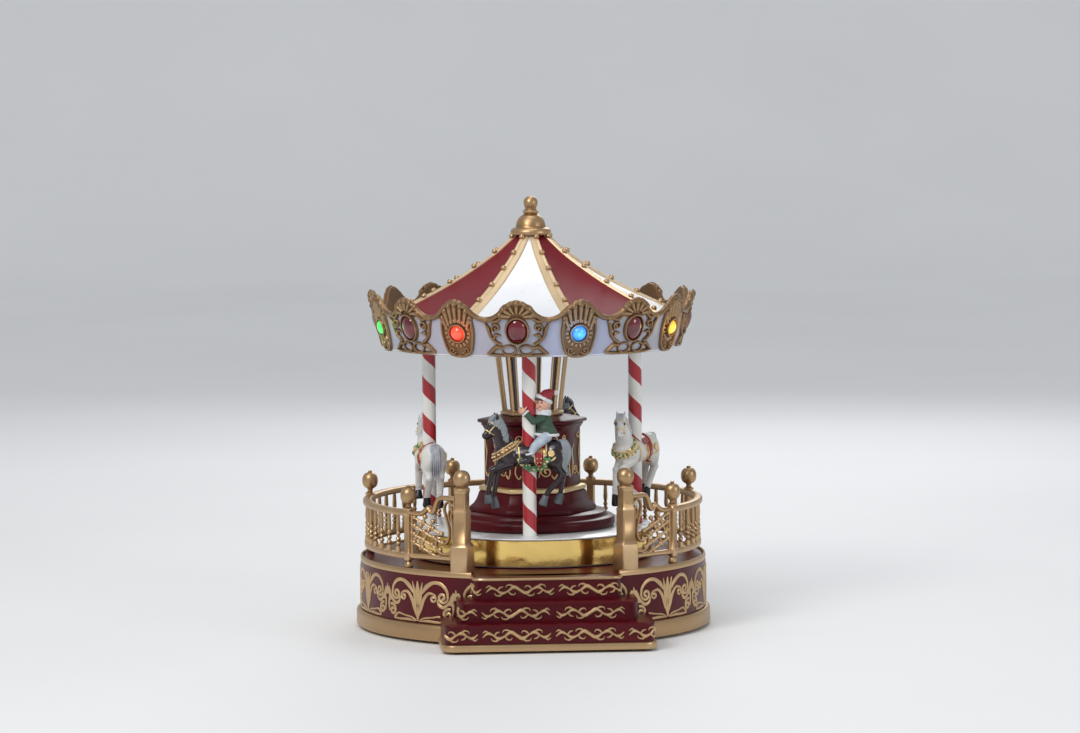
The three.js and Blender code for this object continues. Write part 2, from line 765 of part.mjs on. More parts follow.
// ---------------------------------------------------------------- assembly
function buildBase() {
  addPiece(carousel, "plinth_ring", plinthRing(), gold);
  addPiece(carousel, "base_shell", baseShell(), burgundy);
  addPiece(carousel, "steps_block", stepsBlock(), burgundy);
  addPiece(carousel, "steps_trim", stepsTrim(), gold);
  addPiece(carousel, "bottom_cover", bottomCover(), blackPlastic);
  footPlaces.forEach(([x, y], i) => {
    addPiece(carousel, `foot_${i + 1}`, foot(), rubber).position.set(x, y, 0);
  });
  screwPlaces.forEach(([x, y], i) => {
    addPiece(carousel, `cover_screw_${i + 1}`, coverScrew(), steel).position.set(x, y, 0);
  });
}

function buildPower() {
  addPiece(carousel, "battery_box", batteryBox(), blackPlastic);
  addPiece(carousel, "battery_door", batteryDoor(), blackPlastic);
  [-1, 0, 1].forEach((i) => {
    const piece = addPiece(carousel, `battery_${i + 2}`, batteryCell(), cell);
    piece.position.set(batteryBay.x + i * cellPitch, batteryBay.y, coverZ[1] + gap + cellRadius + 0.6);
    piece.rotation.z = i === 0 ? Math.PI : 0;
  });
  addPiece(carousel, "circuit_board", block(34, 26, boardZ[0], boardZ[1], 55, 38), board);
  const speaker = addPiece(carousel, "speaker", disc(15, coverZ[1] + gap, coverZ[1] + 7, 32), blackPlastic);
  speaker.position.set(speakerPlace.x, speakerPlace.y, 0);
  addPiece(carousel, "switch_housing", block(17, 8, 9, 14, switchPlace.x, switchPlace.y), blackPlastic);
  const slider = block(9, 4, coverZ[1] + gap, 8.6);
  const thumbPiece = block(4, 3.6, coverZ[0] - 0.9, 8);
  const knob = addPiece(carousel, "switch_knob", join(slider, thumbPiece), natural);
  knob.position.set(switchPlace.x - switchTravel / 2, switchPlace.y, 0);
}

function buildDrive() {
  addPiece(carousel, "chassis_plate", chassisPlate(), natural);
  addPiece(carousel, "cam_ring", camRing(), natural);
  addPiece(carousel, "gear_motor", gearMotor(), steel).position.set(0, meshDistance, 0);
  addPiece(carousel, "drive_pinion", drivePinion(), natural).position.set(0, meshDistance, 0);
  addPiece(carousel, "turntable_wheel", turntableWheel(), natural);
  addPiece(carousel, "spindle", disc(spindleRadius, 23.4, 61.5, 16), steel);
}

function buildRailing() {
  for (const [name, side] of [["right", 1], ["left", -1]]) {
    const panel = side > 0 ? gatePanel() : gatePanel().mirror([1, 0, 0]);
    addPiece(carousel, `gate_panel_${name}`, panel, gold);
    const post = addPiece(carousel, `gate_post_${name}`, gatePost(), gold);
    const [x, y] = around(gatePostRadius, side * gatePostAngle);
    post.position.set(x, y, 0);
    post.rotation.z = rad(side * gatePostAngle);
  }
  for (let bay = 1; bay <= 5; bay++) addPiece(carousel, `railing_bay_${bay}`, railingBay(bay), gold);
}

function buildTurntable() {
  addPiece(turningGroup, "turntable", turntable(), floorWhite);
  addPiece(turningGroup, "gold_band", goldBand(), foil);
  addPiece(turningGroup, "stage_disc", stageDisc(), burgundy);
  addPiece(towerGroup, "tower_cabinet", towerCabinet(), burgundy);
  addPiece(towerGroup, "tower_top", towerTop(), burgundy);
  addPiece(towerGroup, "mirror_column", mirrorColumn(), mirror);
}

function buildCanopy() {
  addPiece(canopyGroup, "canopy_ceiling", canopyCeiling(), floorWhite);
  addPiece(canopyGroup, "cornice", cornice(), corniceWhite);
  addPiece(canopyGroup, "roof", roofCone(), roofRed);
  addPiece(canopyGroup, "roof_finial", roofFinial(), gold);
  addPiece(canopyGroup, "lamp_ring", lampRing(), board);
}

function buildHorses() {
  for (const [name, angle] of Object.entries(horseAngle)) {
    const station = new THREE.Group();
    const [x, y] = around(poleCircle, angle);
    station.position.set(x, y, gallop * Math.cos(rad(angle - crestAngle)));
    station.rotation.z = rad(angle);
    turningGroup.add(station);
    addPiece(station, `pole_${name}`, poleSolid(), stripe);
    const dark = name === "front" || name === "back";
    const mount = new THREE.Group();
    mount.rotation.z = rad(horseTurn[name]);
    mount.position.z = horseLift[name];
    station.add(mount);
    addPiece(mount, `horse_${name}`, horse(), dark ? horseDark : horseWhite);
    if (name === "front") addPiece(mount, "rider", rider(), riderCloth);
  }
}

buildBase();
buildPower();
buildDrive();
buildRailing();
buildTurntable();
buildCanopy();
buildHorses();

export default carousel;
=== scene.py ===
import json
import math
import random
import bmesh
import bpy
from mathutils import Matrix, Vector
from mathutils.bvhtree import BVHTree


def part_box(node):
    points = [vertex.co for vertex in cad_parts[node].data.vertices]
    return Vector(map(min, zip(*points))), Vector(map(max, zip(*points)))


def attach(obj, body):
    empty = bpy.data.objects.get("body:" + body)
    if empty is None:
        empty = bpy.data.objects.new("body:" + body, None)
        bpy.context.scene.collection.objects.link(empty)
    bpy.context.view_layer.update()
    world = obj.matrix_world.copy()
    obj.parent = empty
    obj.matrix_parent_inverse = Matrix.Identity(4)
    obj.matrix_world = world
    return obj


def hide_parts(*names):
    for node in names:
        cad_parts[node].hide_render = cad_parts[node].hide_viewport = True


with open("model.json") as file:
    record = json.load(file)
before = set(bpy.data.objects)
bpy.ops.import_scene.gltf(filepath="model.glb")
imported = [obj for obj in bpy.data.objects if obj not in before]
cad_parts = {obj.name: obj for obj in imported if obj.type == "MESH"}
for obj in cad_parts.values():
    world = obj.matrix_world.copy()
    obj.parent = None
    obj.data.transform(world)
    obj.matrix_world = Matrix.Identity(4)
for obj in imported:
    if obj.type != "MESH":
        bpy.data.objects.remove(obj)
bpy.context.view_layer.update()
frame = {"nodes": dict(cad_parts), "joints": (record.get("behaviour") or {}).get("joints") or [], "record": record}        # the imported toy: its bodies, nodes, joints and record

# Sizes below are in mm, heights are above the table, angles are degrees from the steps towards the right.
mm = 0.001
spin = next(j for j in frame["joints"] if j["name"] == "turntable_spin")
axisX = spin["pos_m"][0] / mm
axisY = spin["pos_m"][1] / mm
tableTurn = -6.0         # how far the floor and the horses stand turned at rest
canopyTurn = -9.5        # the same for the canopy
towerTurn = 1.2
made = []


def around(radius, degrees, z=0.0):
    a = math.radians(degrees)
    return Vector((radius * math.sin(a), -radius * math.cos(a), z))


def turnZ(degrees):
    return Matrix.Rotation(math.radians(degrees), 4, "Z")


def onAxis(degrees=0.0):
    return Matrix.Translation((axisX, axisY, 0)) @ turnZ(degrees)


class Shape:
    # points in mm, faces, and a material number for each face
    def __init__(self):
        self.verts = []
        self.faces = []
        self.mats = []

    def add(self, part, mat=0, place=None):
        verts, faces = part
        first = len(self.verts)
        self.verts += [place @ Vector(v) if place else Vector(v) for v in verts]
        self.faces += [[first + i for i in face] for face in faces]
        self.mats += [mat] * len(faces)
        return self


def makePiece(name, shape, looks, body, stands=(), place=None, sharp=40, origin=None):
    # looks are names of finishes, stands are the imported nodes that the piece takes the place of
    place = place or onAxis()
    zero = Vector(origin or (0, 0, 0))
    mesh = bpy.data.meshes.new(name)
    mesh.from_pydata([((place @ v) - zero) * mm for v in shape.verts], [], shape.faces)
    mesh.polygons.foreach_set("material_index", shape.mats)
    mesh.polygons.foreach_set("use_smooth", [True] * len(mesh.polygons))
    piece = bpy.data.objects.new(name, mesh)
    bpy.context.scene.collection.objects.link(piece)
    piece.location = zero * mm
    tidyMesh(mesh)
    mesh.set_sharp_from_angle(angle=math.radians(sharp))
    for look in looks:
        mesh.materials.append(finishes[look])
    bpy.context.view_layer.update()
    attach(piece, body)
    if stands:
        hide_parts(*stands)
    made.append(piece.name)
    return piece


def tidyMesh(mesh):
    bm = bmesh.new()
    bm.from_mesh(mesh)
    bmesh.ops.remove_doubles(bm, verts=bm.verts, dist=1e-7)
    bmesh.ops.dissolve_degenerate(bm, edges=bm.edges, dist=1e-7)
    bmesh.ops.recalc_face_normals(bm, faces=bm.faces)
    bm.to_mesh(mesh)
    bm.free()


def lathe(profile, segments=96, turned=0.0):
    verts = []
    faces = []
    rings = []
    for radius, z in profile:
        if radius < 1e-6:
            rings.append([len(verts)])
            verts.append(Vector((0, 0, z)))
        else:
            rings.append(list(range(len(verts), len(verts) + segments)))
            verts += [around(radius, turned + 360 * i / segments, z) for i in range(segments)]
    for low, high in zip(rings, rings[1:]):
        for i in range(segments):
            k = (i + 1) % segments
            quad = [low[i % len(low)], low[k % len(low)], high[k % len(high)], high[i % len(high)]]
            face = list(dict.fromkeys(quad))
            if len(face) > 2:
                faces.append(face)
    return verts, faces


def smoothLine(points, steps=8, closed=False):
    # a Catmull-Rom line through the points, of any number of coordinates
    points = [Vector(p) for p in points]
    count = len(points)
    spans = count if closed else count - 1
    line = []
    for i in range(spans):
        p1 = points[i]
        p2 = points[(i + 1) % count]
        p0 = points[i - 1] if closed or i > 0 else p1 * 2 - p2
        p3 = points[(i + 2) % count] if closed or i + 2 < count else p2 * 2 - p1
        for s in range(steps):
            t = s / steps
            line.append(0.5 * (2 * p1 + (p2 - p0) * t + (2 * p0 - 5 * p1 + 4 * p2 - p3) * t * t
                               + (3 * p1 - p0 - 3 * p2 + p3) * t ** 3))
    if not closed:
        line.append(points[-1])
    return line


def spiral(cx, cy, outer, inner, start, turns, steps=20):
    # a flat volute that winds in from the outer radius; positive turns run anticlockwise
    line = []
    for i in range(steps + 1):
        t = i / steps
        radius = outer + (inner - outer) * t ** 0.8
        a = math.radians(start + 360 * turns * t)
        line.append((cx + radius * math.cos(a), cy + radius * math.sin(a)))
    return line


def grid(rows, closeRows=False, closeColumns=True):
    # faces over rows of equal length
    verts = [v for row in rows for v in row]
    width = len(rows[0])
    faces = []
    for i in range(len(rows) if closeRows else len(rows) - 1):
        k = (i + 1) % len(rows)
        for j in range(width if closeColumns else width - 1):
            n = (j + 1) % width
            faces.append([i * width + j, i * width + n, k * width + n, k * width + j])
    if not closeRows and closeColumns:
        faces.append(list(range(width))[::-1])
        faces.append([(len(rows) - 1) * width + j for j in range(width)])
    return verts, faces


def sweep(path, section, sizes=None, closed=False, up=(0, 0, 1)):
    # a section of (across, up) offsets carried along a path
    path = [Vector(p) for p in path]
    rows = []
    count = len(path)
    for i, p in enumerate(path):
        before = path[i - 1] if closed or i else path[0]
        after = path[(i + 1) % count] if closed or i + 1 < count else path[-1]
        forward = (after - before).normalized()
        side = forward.cross(Vector(up))
        side = side.normalized() if side.length > 1e-4 else Vector((1, 0, 0))
        top = side.cross(forward)
        size = sizes[i] if sizes else 1.0
        rows.append([p + (side * a + top * b) * size for a, b in section])
    return grid(rows, closeRows=closed)


def roundSection(radius, sides=10):
    return [(radius * math.cos(2 * math.pi * i / sides), radius * math.sin(2 * math.pi * i / sides))
            for i in range(sides)]


def sphere(centre, size, across=20, up=12):
    rx, ry, rz = (size, size, size) if isinstance(size, (int, float)) else size
    profile = []
    for i in range(up + 1):
        a = math.pi * i / up - math.pi / 2
        radius = 0 if i in (0, up) else math.cos(a)
        profile.append((radius, math.sin(a)))
    verts, faces = lathe(profile, across)
    return [Vector((v.x * rx, v.y * ry, v.z * rz)) + Vector(centre) for v in verts], faces


def limb(a, ra, b, rb, sides=14):
    # a tapered limb with round ends
    a = Vector(a)
    b = Vector(b)
    length = (b - a).length
    profile = [(0, -ra), (0.5 * ra, -0.866 * ra), (0.866 * ra, -0.5 * ra), (ra, 0), (rb, length),
               (0.866 * rb, length + 0.5 * rb), (0.5 * rb, length + 0.866 * rb), (0, length + rb)]
    verts, faces = lathe(profile, sides)
    turn = (b - a).to_track_quat("Z", "Y").to_matrix()
    return [turn @ v + a for v in verts], faces


def stroke(line, widths, height, place, under=0.35):
    # a raised ribbon on a surface: place(u, v, h) gives the point h above the surface at (u, v)
    line = [Vector(p) for p in line]
    last = len(line) - 1
    rows = []
    for i, p in enumerate(line):
        along = line[min(i + 1, last)] - line[max(i - 1, 0)]
        if along.length < 1e-6:
            along = Vector((1, 0))
        across = Vector((-along.y, along.x)).normalized()
        t = i / last
        k = t * (len(widths) - 1)
        n = min(int(k), len(widths) - 2)
        half = max(0.04, (widths[n] + (widths[n + 1] - widths[n]) * (k - n)) / 2)
        rise = height * min(1.0, 0.35 + half / 0.9)
        row = []
        for s, h in ((-1, -under), (-1, 0.3 * rise), (-0.45, rise), (0.45, rise), (1, 0.3 * rise), (1, -under)):
            q = p + across * (half * s)
            row.append(place(q.x, q.y, h))
        rows.append(row)
    return grid(rows)


def squareColumn(levels, chamfer=0.5, turned=0.0):
    # a square column with cut corners: levels are (side, height)
    rows = []
    for side, z in levels:
        h = side / 2
        c = min(chamfer, h * 0.4)
        ring = [(-h, -h + c), (-h + c, -h), (h - c, -h), (h, -h + c), (h, h - c), (h - c, h), (-h + c, h),
                (-h, h - c)]
        rows.append([turnZ(turned) @ Vector((x, y, z)) for x, y in ring])
    return grid(rows)


def arcRail(radius, start, end, section, step=1.5, closed=False):
    # a section of (outwards, height) points bent round the axis
    count = max(2, round(abs(end - start) / step))
    rows = []
    for i in range(count if closed else count + 1):
        a = start + (end - start) * i / count
        rows.append([around(radius + out, a, z) for out, z in section])
    return grid(rows, closeRows=closed)


def addNode(material, kind, values=(), **settings):
    # a new node with its settings and with values for its sockets
    node = material.node_tree.nodes.new("ShaderNode" + kind)
    for setting, value in settings.items():
        setattr(node, setting, value)
    for socket, value in dict(values).items():
        node.inputs[socket].default_value = value
    return node


def finish(name, colour, rough=0.4, metal=0.0, coat=0.0, spread=0.12, patch=60.0, grain=1500.0, bump=0.06,
           wearAndHighlight=None, edgeFrom=0.53, sheen=0.0, glow=None, glass=0.0, ior=1.5, coatRough=0.12):
    # a painted, plated or moulded surface: patchy colour, uneven gloss, fine grain, and convex edges mixed towards
    # a lighter colour, which is wear on the gold and a painted highlight on the bronze relief
    material = bpy.data.materials.new(name)
    material.use_nodes = True
    links = material.node_tree.links
    shader = material.node_tree.nodes["Principled BSDF"]
    even = {"Metallic": metal, "Coat Weight": coat, "Coat Roughness": coatRough, "IOR": ior,
            "Transmission Weight": glass, "Sheen Weight": sheen}
    if glow:
        even["Emission Color"] = (*glow[:3], 1)
        even["Emission Strength"] = glow[3]
    for socket, value in even.items():
        shader.inputs[socket].default_value = value
    where = addNode(material, "TexCoord").outputs["Object"]
    clouds = addNode(material, "TexNoise", {"Scale": patch, "Detail": 4})
    links.new(where, clouds.inputs["Vector"])
    tint = addNode(material, "ValToRGB")
    for stop, position, share in zip(tint.color_ramp.elements, (0.3, 0.7), (1 - spread, 1 + spread)):
        stop.position = position
        stop.color = [min(1, c * share) for c in colour] + [1]
    links.new(clouds.outputs["Fac"], tint.inputs["Fac"])
    shade = tint.outputs["Color"]
    # convex edges, found by pointiness, take the lighter colour: wear on the gold, a painted highlight on the
    # bronze
    if wearAndHighlight:
        edges = addNode(material, "NewGeometry")
        ramp = addNode(material, "MapRange", {"From Min": edgeFrom - 0.04, "From Max": edgeFrom + 0.06})
        mix = addNode(material, "Mix", data_type="RGBA")
        mix.inputs["B"].default_value = (*wearAndHighlight, 1)
        links.new(edges.outputs["Pointiness"], ramp.inputs["Value"])
        links.new(ramp.outputs["Result"], mix.inputs["Factor"])
        links.new(shade, mix.inputs["A"])
        shade = mix.outputs["Result"]
    links.new(shade, shader.inputs["Base Color"])
    gloss = addNode(material, "MapRange", {"To Min": max(0.02, rough - 0.08), "To Max": rough + 0.08})
    links.new(clouds.outputs["Fac"], gloss.inputs["Value"])
    links.new(gloss.outputs["Result"], shader.inputs["Roughness"])
    fine = addNode(material, "TexNoise", {"Scale": grain, "Detail": 3})
    relief = addNode(material, "Bump", {"Strength": bump, "Distance": 0.0003})
    links.new(where, fine.inputs["Vector"])
    links.new(fine.outputs["Fac"], relief.inputs["Height"])
    links.new(relief.outputs["Normal"], shader.inputs["Normal"])
    return material


def stripeFinish(name, red, white, pitch, share):
    # one red stripe wound round the pole, going down to the right
    material = finish(name, red, rough=0.3, coat=0.5, bump=0.03)
    links = material.node_tree.links
    base = material.node_tree.nodes["Principled BSDF"].inputs["Base Color"]

    def work(operation, *values):
        # a maths node fed with numbers or with other nodes' outputs
        node = addNode(material, "Math", operation=operation)
        for socket, value in zip(node.inputs, values):
            if isinstance(value, float):
                socket.default_value = value
            else:
                links.new(value, socket)
        return node.outputs[0]

    split = addNode(material, "SeparateXYZ")
    links.new(addNode(material, "TexCoord").outputs["Object"], split.inputs["Vector"])
    turns = work("DIVIDE", work("ARCTAN2", split.outputs["Y"], split.outputs["X"]), 2 * math.pi)
    climb = work("MULTIPLY_ADD", split.outputs["Z"], 1 / (pitch * mm), turns)
    mix = addNode(material, "Mix", data_type="RGBA")
    mix.inputs["A"].default_value = (*white, 1)
    links.new(work("LESS_THAN", work("FRACT", climb), share), mix.inputs["Factor"])
    links.new(base.links[0].from_socket, mix.inputs["B"])
    links.new(mix.outputs["Result"], base)
    return material


paints = {
    "antiqueGold": dict(colour=(0.37, 0.225, 0.105), rough=0.36, metal=0.85, spread=0.1, bump=0.12,
                          wearAndHighlight=(0.60, 0.41, 0.23)),
    # the bronze's raised edges are painted a lighter gold: a painted highlight
    "bronze": dict(colour=(0.19, 0.105, 0.05), rough=0.38, metal=0.75, spread=0.2, bump=0.15,
                     wearAndHighlight=(0.44, 0.29, 0.16), edgeFrom=0.58),
    "creamGold": dict(colour=(0.66, 0.49, 0.30), rough=0.4, metal=0.4, spread=0.08, bump=0.1),
    "burgundy": dict(colour=(0.075, 0.001, 0.005), rough=0.3, coat=0.0, ior=1.33, spread=0.12, patch=25, bump=0.02),
    "printGold": dict(colour=(0.58, 0.40, 0.21), rough=0.42, metal=0.7, spread=0.12, bump=0.08),
    "foilGold": dict(colour=(0.86, 0.60, 0.20), rough=0.16, metal=1.0, spread=0.1, patch=90, grain=260,
                       bump=0.35),
    "floorWhite": dict(colour=(0.72, 0.73, 0.74), rough=0.25, coat=0.4, spread=0.04, bump=0.03),
    "corniceWhite": dict(colour=(0.40, 0.41, 0.49), rough=0.45, spread=0.07, bump=0.3, grain=900),
    "roofWhite": dict(colour=(0.84, 0.86, 0.90), rough=0.28, coat=0.4, spread=0.03, bump=0.03),
    "roofRed": dict(colour=(0.17, 0.007, 0.014), rough=0.42, ior=1.33, spread=0.1, patch=30, bump=0.1),
    "mirror": dict(colour=(0.86, 0.88, 0.92), rough=0.09, metal=1.0, spread=0.05, patch=45, grain=140, bump=0.25),
    "darkStrip": dict(colour=(0.03, 0.012, 0.03), rough=0.2, coat=0.6, spread=0.2, bump=0.03),
    "ruby": dict(colour=(0.15, 0.0, 0.010), rough=0.05, coat=1.0, spread=0.4, patch=120, glass=0.2, bump=0.0,
                   coatRough=0.03),
    "horseDark": dict(colour=(0.016, 0.007, 0.010), rough=0.26, coat=0.4, spread=0.35, patch=110, bump=0.06),
    "horseWhite": dict(colour=(0.72, 0.71, 0.68), rough=0.4, coat=0.15, spread=0.05, bump=0.12,
                         patch=200),
    "maneGrey": dict(colour=(0.085, 0.105, 0.115), rough=0.42, spread=0.4, patch=400, bump=0.4, grain=1200,
                       wearAndHighlight=(0.30, 0.34, 0.36), edgeFrom=0.54),
    # the left horse's white tail, painted grey: painted shade where the tail hangs in shadow
    "tailWhitePaintedShade": dict(colour=(0.40, 0.42, 0.46), rough=0.45, spread=0.3, patch=400, bump=0.4, grain=1200),
    "maneWhite": dict(colour=(0.56, 0.57, 0.58), rough=0.5, spread=0.15, patch=400, bump=0.3, grain=1200),
    "hoofGrey": dict(colour=(0.10, 0.12, 0.13), rough=0.4, spread=0.15, bump=0.1),
    "hoofBlack": dict(colour=(0.012, 0.012, 0.013), rough=0.3, spread=0.2, bump=0.1),
    "saddleRed": dict(colour=(0.32, 0.012, 0.02), rough=0.3, coat=0.4, spread=0.15, bump=0.08),
    "tackGold": dict(colour=(0.62, 0.40, 0.13), rough=0.35, metal=0.7, spread=0.3, patch=700, bump=0.3,
                       grain=2200, wearAndHighlight=(0.85, 0.65, 0.35)),
    "garlandGreen": dict(colour=(0.02, 0.09, 0.03), rough=0.5, spread=0.5, patch=900, bump=0.5,
                           wearAndHighlight=(0.10, 0.26, 0.12), edgeFrom=0.52),
    "jacketGreen": dict(colour=(0.035, 0.075, 0.045), rough=0.5, spread=0.25, patch=300, bump=0.25),
    "woolWhite": dict(colour=(0.72, 0.73, 0.74), rough=0.75, spread=0.1, patch=800, bump=0.6, grain=2600,
                        sheen=0.3),
    "trousers": dict(colour=(0.42, 0.48, 0.55), rough=0.55, spread=0.15, patch=300, bump=0.2),
    "skin": dict(colour=(0.74, 0.42, 0.30), rough=0.45, spread=0.06, bump=0.05),
    "hatRed": dict(colour=(0.30, 0.015, 0.025), rough=0.55, spread=0.2, patch=400, bump=0.3),
    "hair": dict(colour=(0.09, 0.04, 0.02), rough=0.5, spread=0.3, patch=500, bump=0.3),
    "blush": dict(colour=(0.74, 0.32, 0.26), rough=0.5, spread=0.08, bump=0.05),
    "lips": dict(colour=(0.42, 0.10, 0.09), rough=0.4, spread=0.08, bump=0.05),
    "eyePaint": dict(colour=(0.01, 0.01, 0.012), rough=0.2, coat=0.6, spread=0.1, bump=0.0),
    "blackPlastic": dict(colour=(0.014, 0.014, 0.015), rough=0.5, spread=0.15, bump=0.4, grain=1200),
    "board": dict(colour=(0.02, 0.11, 0.04), rough=0.4, spread=0.2, patch=260, bump=0.2),
    "natural": dict(colour=(0.70, 0.67, 0.58), rough=0.45, spread=0.05, bump=0.1),
    "steel": dict(colour=(0.55, 0.55, 0.57), rough=0.3, metal=1.0, spread=0.1, bump=0.1),
    "cellWrap": dict(colour=(0.18, 0.21, 0.26), rough=0.3, metal=0.4, spread=0.1, bump=0.05),
    "rubber": dict(colour=(0.012, 0.012, 0.012), rough=0.85, spread=0.2, bump=0.4),
}
stripe = {"red": (0.40, 0.008, 0.016), "white": (0.80, 0.79, 0.75), "pitch": 20.6, "share": 0.46}
finishes = {name: finish(name, **paint) for name, paint in paints.items()}
finishes["candyStripe"] = stripeFinish("candyStripe", **stripe)
domeLight = {"red": (1.0, 0.06, 0.02), "blue": (0.05, 0.30, 1.0), "yellow": (1.0, 0.62, 0.04),
             "green": (0.05, 0.8, 0.12)}
for colourName, light in domeLight.items():
    finishes[colourName] = finish(colourName + "Dome", [0.03 + 0.8 * c for c in light], rough=0.08, coat=0.8,
                                  spread=0.3, patch=300, bump=0.0, glow=(*light, 0.6))
print("finishes made:", len(finishes))

camera = {"lens": 143.9, "distance": 2400.9, "side": -4.32, "height": 342.2, "heading": 4.43, "down": 4.72,
          "roll": -0.4}


def placeCamera():
    data = bpy.data.cameras.new("camera")
    data.lens = camera["lens"]
    data.clip_end = 50
    eye = bpy.data.objects.new("camera", data)
    eye.location = (onAxis() @ around(camera["distance"], camera["side"], camera["height"])) * mm
    look = Matrix.Rotation(-math.radians(camera["heading"]), 4, "Z")
    tilt = Matrix.Rotation(math.radians(90 - camera["down"]), 4, "X")
    eye.rotation_mode = "QUATERNION"
    eye.rotation_quaternion = (look @ tilt @ turnZ(camera["roll"])).to_quaternion()
    bpy.context.scene.collection.objects.link(eye)
    bpy.context.scene.camera = eye


placeCamera()

studio = {"world": (0.90, 0.92, 0.95), "worldStrength": 0.46, "aim": 110,
          "back": 3000, "sweep": 1500, "half": 12000, "wall": 4000,
          "sun": {"place": (-500, -700, 1100), "angle": 35, "strength": 0.75},
          "lamps": [("key", (-700, -900, 900), 420, 5.5, (1.0, 0.97, 0.93)),
                    ("fill", (900, -700, 420), 420, 2.0, (0.93, 0.96, 1.0)),
                    ("top", (0, 150, 1300), 600, 2.5, (1.0, 1.0, 1.0)),
                    ("back", (250, 1100, 700), 600, 3.0, (1.0, 1.0, 1.0))]}


def makeStudio():
    world = bpy.data.worlds.new("studio")
    world.use_nodes = True
    world.node_tree.nodes["Background"].inputs["Color"].default_value = (*studio["world"], 1)
    world.node_tree.nodes["Background"].inputs["Strength"].default_value = studio["worldStrength"]
    bpy.context.scene.world = world
    target = Vector((axisX, axisY, studio["aim"]))
    for name, place, size, power, tint in studio["lamps"]:
        data = bpy.data.lights.new(name, "AREA")
        data.shape = "DISK"
        data.size = size * mm
        data.energy = power
        data.color = tint
        lamp = bpy.data.objects.new(name, data)
        lamp.location = Vector(place) * mm
        lamp.rotation_euler = (Vector(place) - target).to_track_quat("Z", "Y").to_euler()
        bpy.context.scene.collection.objects.link(lamp)
    data = bpy.data.lights.new("sun", "SUN")
    data.energy = studio["sun"]["strength"]
    data.angle = math.radians(studio["sun"]["angle"])
    sun = bpy.data.objects.new("sun", data)
    sun.rotation_euler = Vector(studio["sun"]["place"]).to_track_quat("Z", "Y").to_euler()
    bpy.context.scene.collection.objects.link(sun)
    # the ground runs back and curves up into a plain wall
    profile = [(-studio["half"], 0), (studio["back"], 0)]
    for step in range(1, 17):
        turn = math.radians(90 * step / 16)
        profile.append((studio["back"] + studio["sweep"] * math.sin(turn), studio["sweep"] * (1 - math.cos(turn))))
    profile.append((profile[-1][0], profile[-1][1] + studio["wall"]))
    rows = [[Vector((side * studio["half"], y, z)) for side in (-1, 1)] for y, z in profile]
    verts, faces = grid(rows, closeColumns=False)
    mesh = bpy.data.meshes.new("ground")
    mesh.from_pydata([v * mm for v in verts], [], faces)
    mesh.polygons.foreach_set("use_smooth", [True] * len(mesh.polygons))
    mesh.materials.append(finish("paleGround", (0.78, 0.79, 0.80), rough=0.7, spread=0.02, patch=3, bump=0.05))
    floor = bpy.data.objects.new("ground", mesh)
    bpy.context.scene.collection.objects.link(floor)


makeStudio()
bpy.context.scene.view_settings.view_transform = "Standard"
print("camera and studio placed")

base = {"wall": 96.5, "wallLow": 10.8, "wallHigh": 36.8, "thick": 2.2, "deck": 38.8, "well": 63.5, "rimFrom": 24.7,
        "flange": 99.0, "flangeLow": 1.5, "flangeTop": 10.5, "motifs": 12, "relief": 0.45}


def onWall(middle):
    # a point u mm round the wall from the middle angle and v mm up it
    return lambda u, v, h: around(base["wall"] + h, middle + math.degrees(u / base["wall"]), v)


def bothSides(shape, lines, place):
    # raised lines left and right of the middle: each is (line, widths, height)
    for side in (-1, 1):
        for line, widths, height in lines:
            shape.add(stroke([(side * p[0], p[1]) for p in line], widths, height, place))


def makeBaseShell():
    wall = base["wall"]
    inner = wall - base["thick"]
    low = base["wallLow"]
    high = base["wallHigh"]
    deck = base["deck"]
    under = deck - base["thick"]
    well = base["well"]
    shell = Shape()
    shell.add(lathe([(inner, low), (wall, low), (wall, high), (wall - 0.2, high + 0.1), (wall - 1.4, high + 0.1),
                     (inner + 0.3, deck - 0.4), (inner, deck), (well + 0.4, deck), (well, deck - 0.4),
                     (well, under), (inner, under), (inner, low)], 180))
    makePiece("baseShell", shell, ["burgundy"], "base", ["base_shell"])
    # the gold rim stops where the walkway runs out onto the steps
    rim = Shape()
    lip = [(-1.35, 36.95), (0.02, 36.95), (0.02, 38.6), (-0.1, 39.4), (-0.45, 39.9), (-0.9, 40.05), (-1.3, 39.8),
           (-1.5, 39.2)]
    rim.add(arcRail(wall, base["rimFrom"], 360 - base["rimFrom"], lip, 2))
    makePiece("baseRim", rim, ["antiqueGold"], "base")
    edge = base["flange"]
    foot = base["flangeLow"]
    top = base["flangeTop"]
    flange = Shape()
    flange.add(lathe([(edge - 6, foot), (edge - 0.8, foot), (edge - 0.2, foot + 0.3), (edge, foot + 1),
                      (edge, top - 1.9), (edge - 0.3, top - 0.9), (edge - 1.1, top - 0.2), (edge - 2, top),
                      (edge - 6, top), (edge - 6, foot)], 180))
    makePiece("plinthRing", flange, ["antiqueGold"], "base", ["plinth_ring"])


